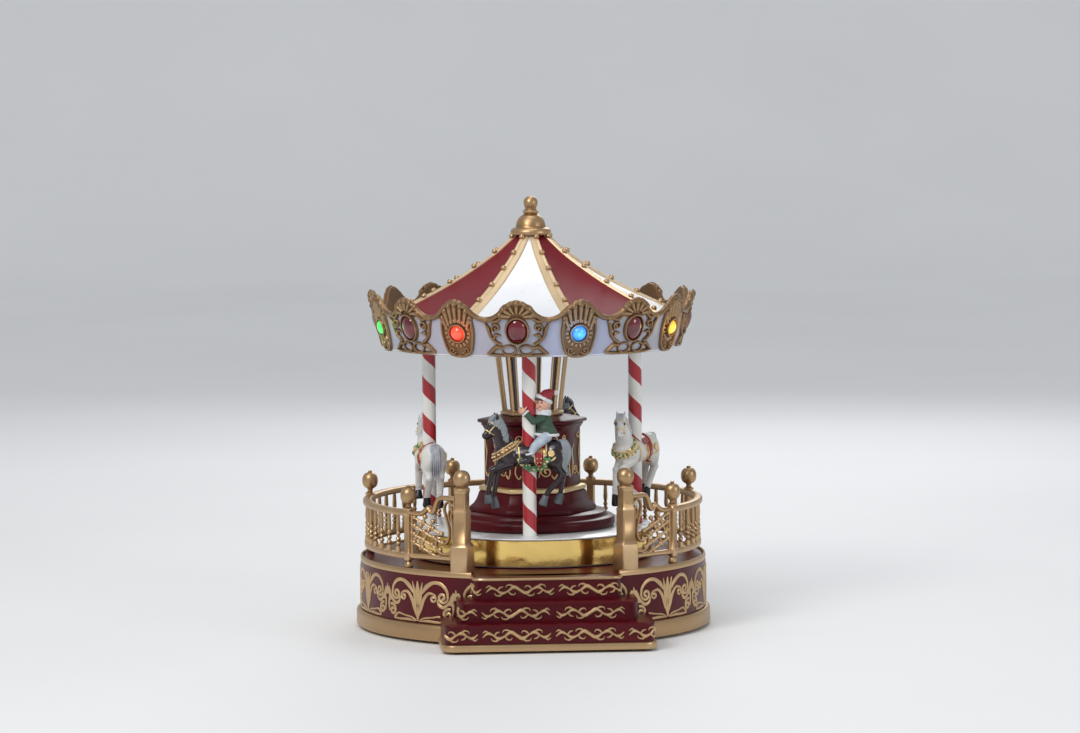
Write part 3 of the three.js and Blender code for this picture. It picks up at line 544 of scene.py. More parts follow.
def wallMotif(shape, middle):
    # one printed palmette with its scrolls; neighbours meet in a point
    place = onWall(middle)
    rise = base["relief"]
    half = math.radians(180 / base["motifs"]) * base["wall"]
    shape.add(stroke(smoothLine([(0, 19.5), (0, 24), (0, 29), (0, 33.6)], 5), [0.5, 2.6, 3.0, 0.7], rise, place))
    shape.add(stroke(smoothLine([(0, 11.8), (0, 14), (0, 17.5), (0, 20)], 4), [0.8, 2.0, 1.8, 0.6], rise, place))
    leaf = smoothLine([(0.9, 18.2), (1.9, 23), (2.5, 28), (3.6, 33.2)], 5)
    arch = smoothLine([(3.4, 27), (6.2, 30.6), (11, 33.3), (16, 32.8), (19.6, 29.4), (20.4, 25)], 6)
    curl = spiral(16.9, 25.6, 3.6, 0.5, -10, -1.3, 22)
    stem = smoothLine([(0.9, 14.6), (2.3, 18.6), (4.4, 23.8), (7.6, 27.2), (11.2, 27.0)], 6)
    inner = spiral(10.7, 24.5, 2.5, 0.5, 75, -1.15, 18)
    bridge = smoothLine([(13.6, 24.2), (14.6, 21.4), (17.4, 20.2), (20.6, 22.2), (23.2, 25.4)], 5)
    drop = spiral(20.3, 16.2, 3.5, 0.5, 60, 1.3, 22)
    point = smoothLine([(half - 3.6, 21.5), (half - 2.2, 25.2), (half - 0.9, 28.4)], 5)
    hang = smoothLine([(half - 1.9, 22.8), (half - 1.5, 19.2), (half - 2.2, 15.4)], 4)
    wedge = smoothLine([(0.8, 11.7), (4.6, 13.5), (10, 14.2), (15.2, 14.9), (18.4, 12.4)], 5)
    foot = smoothLine([(1.6, 11.6), (7, 12.1), (13, 11.8), (18.6, 11.9)], 4)
    lines = [(leaf, [0.5, 1.9, 2.0, 0.5]), (arch, [1.0, 2.6, 1.9, 1.9, 1.7, 1.4]), (curl, [1.4, 1.6, 1.5, 2.2]),
             (stem, [0.7, 2.1, 2.0, 1.6, 1.2]), (inner, [1.1, 1.3, 1.9]), (bridge, [0.8, 1.7, 1.8, 1.8, 2.2]),
             (drop, [1.6, 1.7, 1.5, 2.1]), (point, [2.0, 2.9, 1.8]), (hang, [1.8, 1.4, 0.9]),
             (wedge, [0.7, 1.0, 0.9, 1.2, 1.5]), (foot, [0.6, 1.6, 1.4, 0.9])]
    bothSides(shape, [(line, widths, rise) for line, widths in lines], place)
    shape.add(stroke([(half, 24.5), (half, 27), (half, 30.2)], [1.8, 2.0, 0.5], rise, place))


def makeWallPrint():
    shape = Shape()
    pitch = 360 / base["motifs"]
    for i in range(base["motifs"]):
        wallMotif(shape, pitch * (i + 0.5))
    makePiece("wallPrint", shape, ["printGold"], "base")


steps = {"rows": [(56.5, 118.0, 5.6, 15.7), (48.2, 110.5, 15.7, 26.8), (40.0, 102.5, 26.8, 38.8)],
         "corner": 6.0, "back": 74.0, "vineLength": 36.6, "vineRise": 0.8,
         "nosing": [(0, 1.6), (0.25, 1.3), (0.3, 0.7), (0.05, 0.15), (-0.5, 0)],
         "trim": [(1.0, 1.5), (1.4, 2.0), (1.4, 4.2), (1.1, 4.9), (0.3, 5.3), (-2.8, 5.3), (-2.8, 1.5)],
         "vines": [[(-57.0, "right"), (-17.9, "both"), (21.3, "both"), (60.5, "left")],
                   [(-57.0, "right"), (-17.8, "both"), (22.3, "both")],
                   [(-54.0, "right"), (-14.9, "both"), (24.3, "both")]]}


def stepOutline(half, front, grow=0.0, arc=7, back=None):
    # from the back left round the two front corners to the back right
    h = half + grow
    f = front + grow
    r = steps["corner"] + grow
    back = steps["back"] if back is None else back
    line = [(-h, -back)]
    for i in range(arc + 1):
        a = math.radians(180 + 90 * i / arc)
        line.append((-h + r + r * math.cos(a), -f + r + r * math.sin(a)))
    for i in range(arc + 1):
        a = math.radians(270 + 90 * i / arc)
        line.append((h - r + r * math.cos(a), -f + r + r * math.sin(a)))
    line.append((h, -back))
    return line


def wallGap(x):
    # how far forward of the axis the round wall is, beside the middle
    return math.sqrt(max(0.0, (base["wall"] + 0.35) ** 2 - x * x))


def stepRing(row, grow, z, back):
    return [Vector((x, y, z)) for x, y in stepOutline(row[0], row[1], grow, back=back)]


def makeSteps():
    shape = Shape()
    for row in steps["rows"]:
        back = wallGap(row[0]) - 1.2
        rings = [stepRing(row, 0, row[2], back)]
        rings += [stepRing(row, grow, row[3] - down, back) for grow, down in steps["nosing"]]
        shape.add(grid(rings))
    makePiece("stepsBlock", shape, ["burgundy"], "base", ["steps_block"])
    edge = Shape()
    landing = steps["rows"][2]
    edge.add(sweep(stepRing(landing, 0.1, landing[3] - 0.7, wallGap(landing[0])), roundSection(0.85, 8)))
    makePiece("landingEdge", edge, ["antiqueGold"], "base")
    trim = Shape()
    lowest = steps["rows"][0]
    rings = [stepRing(lowest, grow, z, wallGap(lowest[0])) for grow, z in steps["trim"]]
    trim.add(grid(rings, closeRows=True, closeColumns=False))
    ends = len(rings[0])
    trim.faces.append([i * ends for i in range(len(rings))])
    trim.faces.append([i * ends + ends - 1 for i in range(len(rings))][::-1])
    trim.mats += [0, 0]
    makePiece("stepsTrim", trim, ["antiqueGold"], "base", ["steps_trim"])


def onOutline(line, middle):
    # carries (u, v) round a step's front: u runs along the outline from its middle
    lengths = [0.0]
    for a, b in zip(line, line[1:]):
        lengths.append(lengths[-1] + math.dist(a, b))
    centre = lengths[-1] / 2

    def place(u, v, h):
        s = min(max(u + centre, 0.001), lengths[-1] - 0.001)
        i = max(k for k in range(len(lengths) - 1) if lengths[k] <= s)
        a = Vector(line[i])
        b = Vector(line[i + 1])
        t = (s - lengths[i]) / (lengths[i + 1] - lengths[i])
        along = (b - a).normalized()
        p = a.lerp(b, t) + Vector((along.y, -along.x)) * h
        return Vector((p.x, p.y, middle + v))
    return place


def vineHalf(shape, place, u, flip, side):
    # half of a curling vine, going out from its middle at u to the given side
    f = (-1 if flip else 1) * side
    k = steps["vineLength"] / 36

    def at(points):
        return [(u + x * k * side, y * f) for x, y in smoothLine(points, 5)]
    shape.add(stroke(at([(0, 0), (3.2, -1.7), (6.6, 0.5), (9.6, 1.6), (12.4, -0.2), (15.2, -1.3), (18, 0.9)]),
                     [1.7, 2.1, 1.1, 2.0, 1.1, 1.9, 0.5], steps["vineRise"], place))
    for points, widths in (([(14.6, -1.3), (16.4, -2.5), (18, -1.5)], [0.9, 1.1, 0.4]),
                           ([(9.0, 1.5), (10.8, 2.9), (12.9, 2.5), (13.5, 1.3)], [1.0, 1.2, 0.8, 0.4]),
                           ([(6.4, 0.4), (5.0, 2.0), (3.2, 2.3), (2.4, 1.2)], [0.9, 1.2, 0.8, 0.4]),
                           ([(3.0, -1.6), (4.8, -2.9), (6.9, -2.7), (7.6, -1.5)], [1.0, 1.2, 0.8, 0.4]),
                           ([(12.0, 0.1), (10.6, -1.5), (8.9, -2.0)], [0.9, 1.1, 0.4])):
        shape.add(stroke(at(points), widths, steps["vineRise"], place))


def makeVines():
    shape = Shape()
    for number, (half, front, low, high) in enumerate(steps["rows"]):
        line = stepOutline(half, front, 0.0, back=wallGap(half) + 1)
        place = onOutline(line, (low + high) / 2 - 0.6)
        for middle, sides in steps["vines"][number]:
            if sides != "left":
                vineHalf(shape, place, middle, number == 1, 1)
            if sides != "right":
                vineHalf(shape, place, middle, number == 1, -1)
    makePiece("stepVines", shape, ["printGold"], "base")


makeBaseShell()
makeWallPrint()
makeSteps()
makeVines()
print("base and steps made")

railing = {"radius": 92.4, "pitch": 360 / 7, "balusters": 8, "seam": 8.4}
balusterPitch = railing["pitch"] / (railing["balusters"] + 1)
topSection = [(-2.5, 68.9), (-2.2, 68.2), (-1.6, 68.0), (1.6, 68.0), (2.2, 68.2), (2.5, 68.9), (2.45, 70.4),
              (2.0, 71.1), (1.2, 71.4), (-1.2, 71.4), (-2.0, 71.1), (-2.45, 70.4)]
lowSection = [(-1.8, 45.0), (-1.5, 44.6), (1.5, 44.6), (1.8, 45.0), (1.8, 47.1), (1.4, 47.6), (-1.4, 47.6),
              (-1.8, 47.1)]


railBars = [topSection, lowSection]
balusterProfile = [(0, 47.3), (1.5, 47.3), (1.5, 50.2), (1.15, 50.6), (0.7, 51.0), (1.35, 51.7), (1.5, 52.2),
                   (1.3, 52.8), (0.65, 53.4), (1.2, 54.0), (1.5, 54.7), (1.25, 55.4), (0.65, 56.0), (1.1, 56.7),
                   (1.35, 57.4), (1.1, 58.1), (0.8, 58.7), (1.15, 60), (1.25, 62), (1.05, 66), (0.95, 68.2),
                   (0, 68.2)]
newelLevels = [(4.1, 43.8), (4.4, 44.1), (4.4, 47.9), (4.0, 48.3), (4.0, 67.6), (4.5, 68.2), (4.5, 71.3),
               (4.1, 71.6)]
newelFoot = [(0, 39.0), (1.7, 39.0), (2.3, 39.9), (2.45, 41.2), (2.1, 42.4), (1.5, 43.2), (1.9, 44), (0, 44)]
newelBall = [(0, 71.5), (2.8, 71.5), (2.9, 72.1), (2.2, 72.6), (1.45, 73.1), (1.4, 74.2), (1.9, 74.9), (2.9, 75.4),
             (3.6, 76.1), (4.1, 77.1), (4.35, 78.3), (4.4, 79.3), (4.35, 80.3), (4.1, 81.4), (3.6, 82.4),
             (2.9, 83.1), (2.0, 83.6), (1.1, 83.85), (1.05, 84.2), (1.2, 84.5), (0.9, 84.85), (0, 85)]


def onCircle(radius, angle):
    return Matrix.Translation(around(radius, angle))


def addBaluster(shape, angle):
    shape.add(lathe(balusterProfile, 14), 0, onCircle(railing["radius"], angle))


def addNewel(shape, angle):
    place = turnZ(angle) @ onCircle(railing["radius"], 0)
    shape.add(squareColumn(newelLevels, 0.45), 0, place)
    shape.add(lathe(newelFoot, 20), 0, place)
    shape.add(lathe(newelBall, 32), 0, place)


def makeBays():
    for bay in range(1, 6):
        shape = Shape()
        start = railing["pitch"] * bay
        last = bay == 5
        first = start + railing["seam"] + 0.15
        end = start + railing["pitch"] + (-railing["seam"] - 0.15 if last else railing["seam"])
        for section in railBars:
            shape.add(arcRail(railing["radius"], first, end, section))
        for i in range(2, railing["balusters"] + (0 if last else 1)):
            addBaluster(shape, start + i * balusterPitch)
        if not last:
            addNewel(shape, start + railing["pitch"])
            addBaluster(shape, start + railing["pitch"] + balusterPitch)
        makePiece(f"railingBay{bay}", shape, ["antiqueGold"], "base", [f"railing_bay_{bay}"])


gate = {"angle": 29.2, "radius": 91.0}


def addGatePanel(shape, side):
    newel = around(railing["radius"], railing["pitch"])
    post = around(gate["radius"], gate["angle"])
    run = (post - newel).length
    along = (post - newel).normalized()
    out = Vector((along.y, -along.x, 0))
    end = run - 4.9

    def place(u, v, h):
        p = newel + along * u + out * h
        return Vector((p.x * side, p.y, v))

    def bar(line, wide, thick, sides=10):
        # a rounded bar in the panel's plane
        line = [Vector(p) for p in line]
        last = len(line) - 1
        rows = []
        for i, p in enumerate(line):
            t = line[min(i + 1, last)] - line[max(i - 1, 0)]
            n = Vector((-t.y, t.x)).normalized()
            size = wide[0] + (wide[-1] - wide[0]) * i / last if isinstance(wide, (list, tuple)) else wide
            row = []
            for k in range(sides):
                a = 2 * math.pi * k / sides
                q = p + n * (size / 2 * math.cos(a))
                row.append(place(q.x, q.y, thick / 2 * math.sin(a)))
            rows.append(row)
        shape.add(grid(rows))

    bar(smoothLine([(0, 69.8), (5, 69.6), (8.6, 69.8), (11.4, 71.4), (13.6, 73.0), (15.4, 71.2), (17.2, 71.6),
                    (18.4, 74.6), (20, 77.6), (22.6, 79), (end + 1, 79)], 6), 2.9, 4.2, 12)
    bar([(0, 46.1), (end + 0.6, 46.1)], 3.0, 3.4, 12)
    bar(smoothLine([(end - 0.6, 75), (end - 2.8, 77.2), (end - 5.4, 76.2), (end - 6.6, 73), (end - 5.4, 68.6),
                    (end - 3.8, 64), (end - 3.3, 59), (end - 4.6, 55.2), (end - 6.6, 54.2), (end - 8.1, 56.0)], 6),
        [1.5, 1.7], 2.4)
    bar(smoothLine([(end - 2.6, 66.5), (end - 3.6, 70.2), (end - 2.4, 73.4), (end - 1.1, 71.6), (end - 1.9, 69.4),
                    (end - 1.2, 66), (end - 0.9, 60), (end - 0.8, 55), (end - 2.4, 50.4), (end - 6, 48.4),
                    (end - 10, 49.6), (end - 12.2, 53.2), (end - 10.6, 57.2)], 6), [1.3, 1.9], 2.4)
    bar([(end + 0.2, 46), (end + 0.2, 78.6)], 1.6, 2.4)
    beads = []
    for i in range(4):
        v = 53.4 + 4.6 * i
        reach = [end - 10.6, end - 9.6, end - 8, end - 8.6][i]
        bar([(1.6, v + 1.2), (reach, v + 1.2 - reach * 0.42)], 1.5, 1.7, 8)
        beads += [(1.6 + (reach - 1.6) * t, v + 1.2 - (reach * 0.42) * t + 0.2) for t in (0.12, 0.42, 0.72, 1.0)]
    bar([(3.0, 52.5), (11.6, 69.4)], 1.3, 1.6, 8)
    bar([(7.4, 50), (16.4, 66.4)], 1.3, 1.6, 8)
    bar([(2.4, 46.5), (2.4, 68.6)], 1.3, 1.8, 8)
    beads += [(5.2, 57), (8.2, 63.2), (11.0, 68.2), (10.2, 55.2), (13.4, 61.2), (16.2, 66)]
    for u, v in beads:
        centre = place(u, v, 0)
        shape.add(sphere(centre, 1.45, 12, 8))
    for section in railBars:
        shape.add(arcRail(railing["radius"], side * (railing["pitch"] - 1.2),
                          side * (railing["pitch"] + railing["seam"]), section))
    addNewel(shape, side * railing["pitch"])
    addBaluster(shape, side * (railing["pitch"] + balusterPitch))


def makeGate():
    for name, side in (("right", 1), ("left", -1)):
        panel = Shape()
        addGatePanel(panel, side)
        makePiece(f"gatePanel_{name}", panel, ["antiqueGold"], "base", [f"gate_panel_{name}"])
        post = Shape()
        place = turnZ(side * gate["angle"]) @ onCircle(gate["radius"], 0)
        post.add(squareColumn([(9.8, 39.1), (10.2, 39.5), (10.2, 53.2), (9.8, 53.8), (8.2, 55.2), (7.6, 55.6),
                               (7.5, 71.6), (7.8, 72.2), (7.6, 72.8), (6.5, 74.0), (6.4, 82.4), (6.9, 82.8),
                               (6.9, 83.6), (6.0, 83.9)], 0.6), 0, place)
        post.add(lathe([(0, 83.2), (4.0, 83.4), (4.4, 84.0), (4.5, 84.7), (4.1, 85.3), (3.0, 85.7), (3.1, 86.2),
                        (4.1, 87.4), (4.65, 89.2), (4.7, 90.6), (4.3, 92.4), (3.3, 93.9), (2.0, 94.7), (0, 95)],
                       36), 0, place)
        makePiece(f"gatePost_{name}", post, ["antiqueGold"], "base", [f"gate_post_{name}"])


makeBays()
makeGate()
print("railing and gate made")

turntable = {"radius": 66.9, "floor": 55.2, "skirt": 39.3, "bore": 3.3, "poleCircle": 57.5, "band": 66.0,
             "bandRows": [(0, 0, 39.7), (0.75, 0.6, 39.9), (0.68, 1, 43.5), (0.72, -1, 48), (0.68, 1, 52),
                          (0.75, 0, 53.9), (0, 0, 54.0)]}
quarters = (0, 90, 180, 270)


def makeTurntable():
    edge = turntable["radius"]
    top = turntable["floor"]
    low = turntable["skirt"]
    bore = turntable["bore"]
    floor = Shape()
    floor.add(lathe([(bore, top - 2), (edge - 3, top - 2), (edge - 3, low), (edge - 1.3, low),
                     (edge - 1.3, top - 1), (edge - 0.4, top - 0.95), (edge - 0.05, top - 0.7), (edge, top - 0.4),
                     (edge - 0.2, top - 0.1), (edge - 0.6, top), (bore, top), (bore, top - 2)], 180))
    collar = lathe([(4.0, top), (5.3, top), (5.3, top + 0.4), (4.9, top + 0.7), (4.2, top + 0.7), (4.0, top + 0.4),
                    (4.0, top)], 32)
    for angle in quarters:
        floor.add(collar, 0, onCircle(turntable["poleCircle"], angle))
    place = onAxis(tableTurn)
    makePiece("turntableFloor", floor, ["floorWhite"], "turntable", ["turntable"], place)
    rows = []
    for i in range(240):
        a = 360 * i / 240
        dent = 0.12 * math.sin(math.radians(9 * a)) + 0.08 * math.sin(math.radians(23 * a + 40))
        rows.append([around(turntable["band"] + out + dent * share, a, z)
                     for out, share, z in turntable["bandRows"]])
    band = Shape().add(grid(rows, closeRows=True))
    makePiece("goldBand", band, ["foilGold"], "turntable", ["gold_band"], place)
    stage = Shape()
    stage.add(lathe([(0, 55.5), (45, 55.5), (45.7, 56.0), (46, 56.9), (46, 59.4), (45.6, 60.3), (44.8, 60.9),
                     (42.4, 61.1), (41.7, 61.5), (41.2, 62.4), (41.0, 63.2), (40.4, 63.7), (0, 63.7)], 128))
    makePiece("stageDisc", stage, ["burgundy"], "base", ["stage_disc"])


tower = {"plinth": 36.0, "side": 27.2, "bevel": 0.8, "print": 0.5}
column = {"low": 15.9, "high": 20.4, "foot": 119.6, "head": 157.1, "middle": 17.5}


def polygonColumn(levels, sides, turned, bevel=0.5):
    # a column of regular polygons with softened corners: levels are (corner radius, height)
    rows = []
    for radius, z in levels:
        row = []
        corners = [around(radius, turned + 360 * i / sides, z) for i in range(sides)]
        for i, corner in enumerate(corners):
            before = corners[i - 1]
            after = corners[(i + 1) % sides]
            row.append(corner + (before - corner).normalized() * bevel)
            row.append(corner + (after - corner).normalized() * bevel)
        rows.append(row)
    return grid(rows)


def onFace(apothem, turned):
    # a point u mm across a flat face of the tower and v mm up it
    return lambda u, v, h: around(apothem + h, turned, v) + around(1, turned + 90) * u


def hexagon(levels):
    return polygonColumn(levels, 6, 30, tower["bevel"])


def makeTower():
    turn = onAxis(towerTurn)
    plinth = tower["plinth"]
    side = tower["side"]
    cabinet = Shape()
    cabinet.add(hexagon([(plinth, 64.0), (plinth, 65.6), (plinth - 0.6, 66.6), (plinth - 2.6, 68.2),
                         (plinth - 4.1, 70.4), (plinth - 5.2, 73.2), (plinth - 5.6, 74.6), (plinth - 6.4, 75.0),
                         (plinth - 6.4, 75.3)]))
    cabinet.add(hexagon([(side, 75.2), (side, 109.8), (side + 0.6, 110.4), (side + 1.0, 111.4), (side + 1.7, 112.0),
                         (side + 1.7, 112.8)]))
    makePiece("towerCabinet", cabinet, ["burgundy"], "base", ["tower_cabinet"], turn)
    trim = Shape()
    trim.add(hexagon([(29.6, 75.3), (30.3, 75.6), (30.5, 76.6), (30.2, 77.6), (28.8, 78.1), (27.4, 78.2)]))
    curl = spiral(9.3, 105.4, 2.5, 0.5, -30, 1.15, 18)
    flank = smoothLine([(11.4, 106.6), (11.9, 102), (10.6, 97), (11.3, 91.5), (11.8, 86.5), (9.9, 83.4),
                        (8.4, 85.2)], 6)
    scroll = spiral(5.6, 87.2, 3.5, 0.6, 150, 1.3, 22)
    leaf = smoothLine([(1.2, 84), (2.6, 91), (1.4, 97), (3.6, 101.6)], 6)
    lines = [(curl, [0.7, 0.8, 1.0]), (flank, [0.6, 0.8, 1.0, 0.8, 0.8, 0.9, 0.7]), (scroll, [0.6, 0.9, 1.1]),
             (leaf, [0.5, 0.9, 0.9, 0.5])]
    for i in range(6):
        place = onFace(side * math.cos(math.pi / 6), 60 * i)
        bothSides(trim, [(line, widths, tower["print"]) for line, widths in lines], place)
    makePiece("towerTrim", trim, ["tackGold"], "base", (), turn)
    top = Shape()
    top.add(hexagon([(28.6, 113.1), (30.2, 113.2), (31, 113.7), (31.1, 114.5), (30.6, 115.1), (28.4, 115.6),
                     (19.4, 117.3)]))
    makePiece("towerTop", top, ["burgundy"], "base", ["tower_top"], turn)


def columnRadius(z):
    slope = (column["high"] - column["low"]) / (column["head"] - column["foot"])
    return column["low"] + slope * (z - column["foot"])


def makeColumn():
    # eight gold ribs, and between them a mirror strip with a dark strip and a thin bar at each side
    turn = onAxis(towerTurn)
    ribs = Shape()
    glass = Shape()
    ribs.add(polygonColumn([(17.6, 117.6), (17.8, 118.2), (17.8, 119.2), (16.8, 119.8), (16.6, 120.4)], 8, 0, 0.4))
    ribs.add(polygonColumn([(20.0, 154.6), (20.6, 155.0), (20.6, 157.0)], 8, 0, 0.4))
    flat = math.cos(math.pi / 8)
    for i in range(8):
        a = 45 * i
        path = [around(columnRadius(z), a, z) for z in (119.6, 130, 142, 155)]
        ribs.add(sweep(path, [(-1.0, -0.7), (1.0, -0.7), (1.0, 0.5), (0.4, 0.8), (-0.4, 0.8), (-1.0, 0.5)],
                       up=around(1, a)))
        middle = a + 22.5
        side = around(1, middle + 90)
        back = around(1.2, middle)
        for shift, wide, depth, mat in ((0, 6.0, -0.2, 0), (-4.55, 1.5, -0.5, 1), (4.55, 1.5, -0.5, 1)):
            rows = []
            for z in (120.2, 138, 155):
                grow = columnRadius(z) / column["middle"]
                centre = around(columnRadius(z) * flat + depth, middle, z) + side * (shift * grow)
                half = side * (wide * grow / 2)
                rows.append([centre - half, centre + half, centre + half - back, centre - half - back])
            glass.add(grid(rows), mat)
        for shift in (-3.4, 3.4):
            path = []
            for z in (120, 138, 155):
                grow = columnRadius(z) / column["middle"]
                path.append(around(columnRadius(z) * flat, middle, z) + side * (shift * grow))
            ribs.add(sweep(path, [(-0.35, -0.6), (0.35, -0.6), (0.35, 0.3), (-0.35, 0.3)], up=around(1, middle)))
    makePiece("columnFrame", ribs, ["antiqueGold"], "base", (), turn)
    glass.add(polygonColumn([(14.2, 119.9), (18.6, 156.8)], 8, 0, 0.3), 1)
    glass.add(lathe([(0, 156.4), (3, 156.4), (3, 165.6), (2.4, 166), (0, 166)], 24), 1)
    makePiece("mirrorColumn", glass, ["mirror", "darkStrip"], "base", ["mirror_column"], turn)


makeTurntable()
makeTower()
makeColumn()
print("turntable and tower made")

canopy = {"low": 155.8, "lowRadius": 82.0, "highRadius": 90.2, "high": 187.0, "middle": 86.0, "valley": 177.4,
          "crest": 186.3, "lobe": 3.1, "crown": 9.0, "inside": 160, "thick": 2.2, "units": 16, "bolder": 1.4,
          "lampHeight": 168.8, "stoneHeight": 170.4, "lamp": 4.1, "stone": (5.5, 6.7),
          "colours": ["blue", "yellow", "green", "red"], "glow": {"blue": 0.006, "others": 0.0022}}
unitPitch = 360 / canopy["units"]
unitHalf = math.pi * canopy["middle"] / canopy["units"]
leanOut = (canopy["highRadius"] - canopy["lowRadius"]) / (canopy["high"] - canopy["low"])


def wallRadius(z):
    return canopy["lowRadius"] + leanOut * (z - canopy["low"])


def onCornice(middle):
    # u mm round the cornice from the middle of a unit, v the height, h out from its sloping face
    def place(u, v, h):
        a = middle + math.degrees(u / canopy["middle"])
        out = (around(1, a) + Vector((0, 0, -leanOut))).normalized()
        return around(wallRadius(v), a, v) + out * h
    return place


def crestOutline(u):
    # the height of the top edge, u mm from the middle of a unit: a scalloped crown that swoops down to the next
    swoop = (0.5 + 0.5 * math.cos(math.pi * min(1.0, abs(u) / unitHalf))) ** 1.25
    lobes = 0.55 * abs(math.cos(math.pi * u / canopy["lobe"])) if abs(u) < canopy["crown"] else 0.0
    return canopy["valley"] + (canopy["crest"] - canopy["valley"]) * swoop + lobes


def makeCorniceWall():
    # the moulded wall: white outside, bronze behind, with its crested top edge
    rows = []
    cuts = 26
    thick = canopy["thick"]
    low = canopy["low"]
    inside = canopy["inside"]
    for unit in range(canopy["units"]):
        for s in range(cuts):
            a = unitPitch * (unit - 0.5 + s / cuts)
            top = crestOutline(math.radians(unitPitch) * canopy["middle"] * (s / cuts - 0.5))
            row = [around(wallRadius(low + 0.4) - thick + 0.1, a, low + 0.2), around(wallRadius(low), a, low)]
            for t in (0.03, 0.25, 0.5, 0.75, 0.97):
                z = low + (top - low) * t
                row.append(around(wallRadius(z), a, z))
            row.append(around(wallRadius(top) - 0.4, a, top))
            row.append(around(wallRadius(top) - thick + 0.4, a, top))
            for t in (0.95, 0.5):
                z = inside + (top - inside) * t
                row.append(around(wallRadius(z) - thick, a, z))
            row.append(around(wallRadius(inside) - thick + 1.3, a, inside - 0.2))
            rows.append(row)
    shape = Shape()
    shape.verts, shape.faces = grid(rows, closeRows=True)
    shape.mats = [0 if face[0] % len(rows[0]) < 6 else 1 for face in shape.faces]
    makePiece("corniceWall", shape, ["corniceWhite", "bronze"], "turntable", ["cornice"],
              onAxis(canopyTurn))
    foot = Shape()
    foot.add(arcRail(81.3, 0, 360, [(-1.0, 155.9), (0.2, 155.8), (0.85, 156.1), (0.95, 156.9), (0.5, 157.4)], 2,
                     True))
    makePiece("corniceFoot", foot, ["floorWhite"], "turntable", (), onAxis(canopyTurn))


def bold(line, widths, height):
    # a moulded line, bolder than a printed one
    return line, [w * canopy["bolder"] for w in widths], height * 1.35


def topEdge(shape, place):
    # the rounded moulding that follows the crest
    line = []
    for i in range(61):
        u = -unitHalf + 2 * unitHalf * i / 60
        line.append((u, crestOutline(u) - 0.9))
    shape.add(stroke(*bold(line, [1.9, 1.9], 1.05), place))


def backPlate(shape, place, outline):
    # a solid ground under the relief: outline is a list of (half width, height) going up
    rows = []
    for w, v in smoothLine(outline, 4):
        across = [w * (k / 4 - 1) for k in range(9)]
        rows.append([place(u, v, 0.5) for u in across] + [place(u, v, -0.5) for u in across[::-1]])
    shape.add(grid(rows))


def shell(shape, place, step, footOf, tipOf, width):
    # seven fat rays of a shell, rounded at their tips
    for i in range(7):
        a = math.radians(90 + (i - 3) * step)
        foot = footOf(math.cos(a), math.sin(a))
        tip = tipOf(math.cos(a), math.sin(a))
        middle = ((foot[0] + tip[0]) / 2, (foot[1] + tip[1]) / 2)
        shape.add(stroke([foot, middle, tip], [width * 0.5, width * 0.85, width], 1.7, place))
        shape.add(sphere(place(tip[0], tip[1], 0.5), width * 0.52, 12, 8))


def lampUnit(shape, place, z):
    backPlate(shape, place, [(2.6, z - 12.9), (5.8, z - 11.4), (8.0, z - 7), (9.0, z - 1), (9.4, z + 5),
                             (8.8, z + 10), (5.6, z + 15), (1.0, z + 17)])
    shell(shape, place, 22, lambda c, s: (6.4 * c, z + 6.2 * s), lambda c, s: (8.9 * c, z + 3.2 + 12.2 * s), 3.4)
    for i in range(18):
        a = math.radians(20 * i)
        ray = [(radius * math.cos(a), z + radius * math.sin(a)) for radius in (5.9, 7.6)]
        shape.add(stroke(*bold(ray, [1.1, 1.5], 0.8), place))
    shape.add(ovalRing(place, z, 4.75, 4.75, 1.5, 2.2))
    edge = smoothLine([(8.6, z + 7), (9.3, z + 1), (8.6, z - 5), (7.0, z - 10), (3.8, z - 12.2), (0, z - 12.6)], 6)
    curl = spiral(4.2, z - 9.4, 2.3, 0.5, 200, 1.2, 18)
    bothSides(shape, [bold(edge, [1.5, 1.3, 1.2, 1.4, 1.6], 1.2), bold(curl, [0.9, 1.1, 1.4], 1.1)], place)


def stoneUnit(shape, place, z):
    backPlate(shape, place, [(7.4, z + 6.2), (9.4, z + 8.4), (9.0, z + 11.4), (6.6, z + 14.2), (1.0, z + 15.6)])
    shell(shape, place, 26, lambda c, s: (3.6 * c, z + 7.6 + 2.2 * s), lambda c, s: (9.2 * c, z + 6.8 + 7.8 * s),
          3.3)
    arch = smoothLine([(8.2, z + 7.4), (11.4, z + 5.2), (15.4, z + 5.8), (17.6, z + 4.4)], 6)
    flank = smoothLine([(17.4, z + 4.6), (15.6, z + 1.2), (14.4, z - 3.2), (11.6, z - 6.2), (9.0, z - 7.6)], 6)
    scroll = spiral(11.2, z + 1.8, 2.7, 0.6, -60, 1.2, 20)
    sprig = smoothLine([(8.8, z - 2.6), (11.6, z - 2.2), (12.8, z - 4.2)], 5)
    loop = [(4.9 + 3.9 * math.cos(math.radians(a)), z - 10.6 + 2.5 * math.sin(math.radians(a)))
            for a in range(0, 361, 20)]
    foot = smoothLine([(8.4, z - 9.2), (11.6, z - 9.0), (14.6, z - 11.2), (17.2, z - 12.8)], 6)
    tail = smoothLine([(16.6, z - 12.8), (11.4, z - 13.3), (6, z - 13.6), (0, z - 13.7)], 5)
    bothSides(shape, [bold(arch, [1.4, 1.9, 1.5, 0.7], 1.1), bold(flank, [0.9, 1.7, 1.5, 1.6, 1.4], 1.1),
                      bold(scroll, [1.0, 1.3, 1.1, 1.6], 1.1), bold(sprig, [0.6, 1.5, 1.0], 1.1),
                      bold(loop, [1.0, 1.0], 1.0), bold(foot, [1.3, 2.0, 1.8, 0.8], 1.1),
                      bold(tail, [1.2, 1.3, 1.2, 1.2], 1.0)], place)


def ovalRing(place, z, rx, rz, wide, rise):
    line = [(rx * math.cos(math.radians(a)), z + rz * math.sin(math.radians(a))) for a in range(0, 361, 10)]
    return stroke(line, [wide, wide], rise, place)


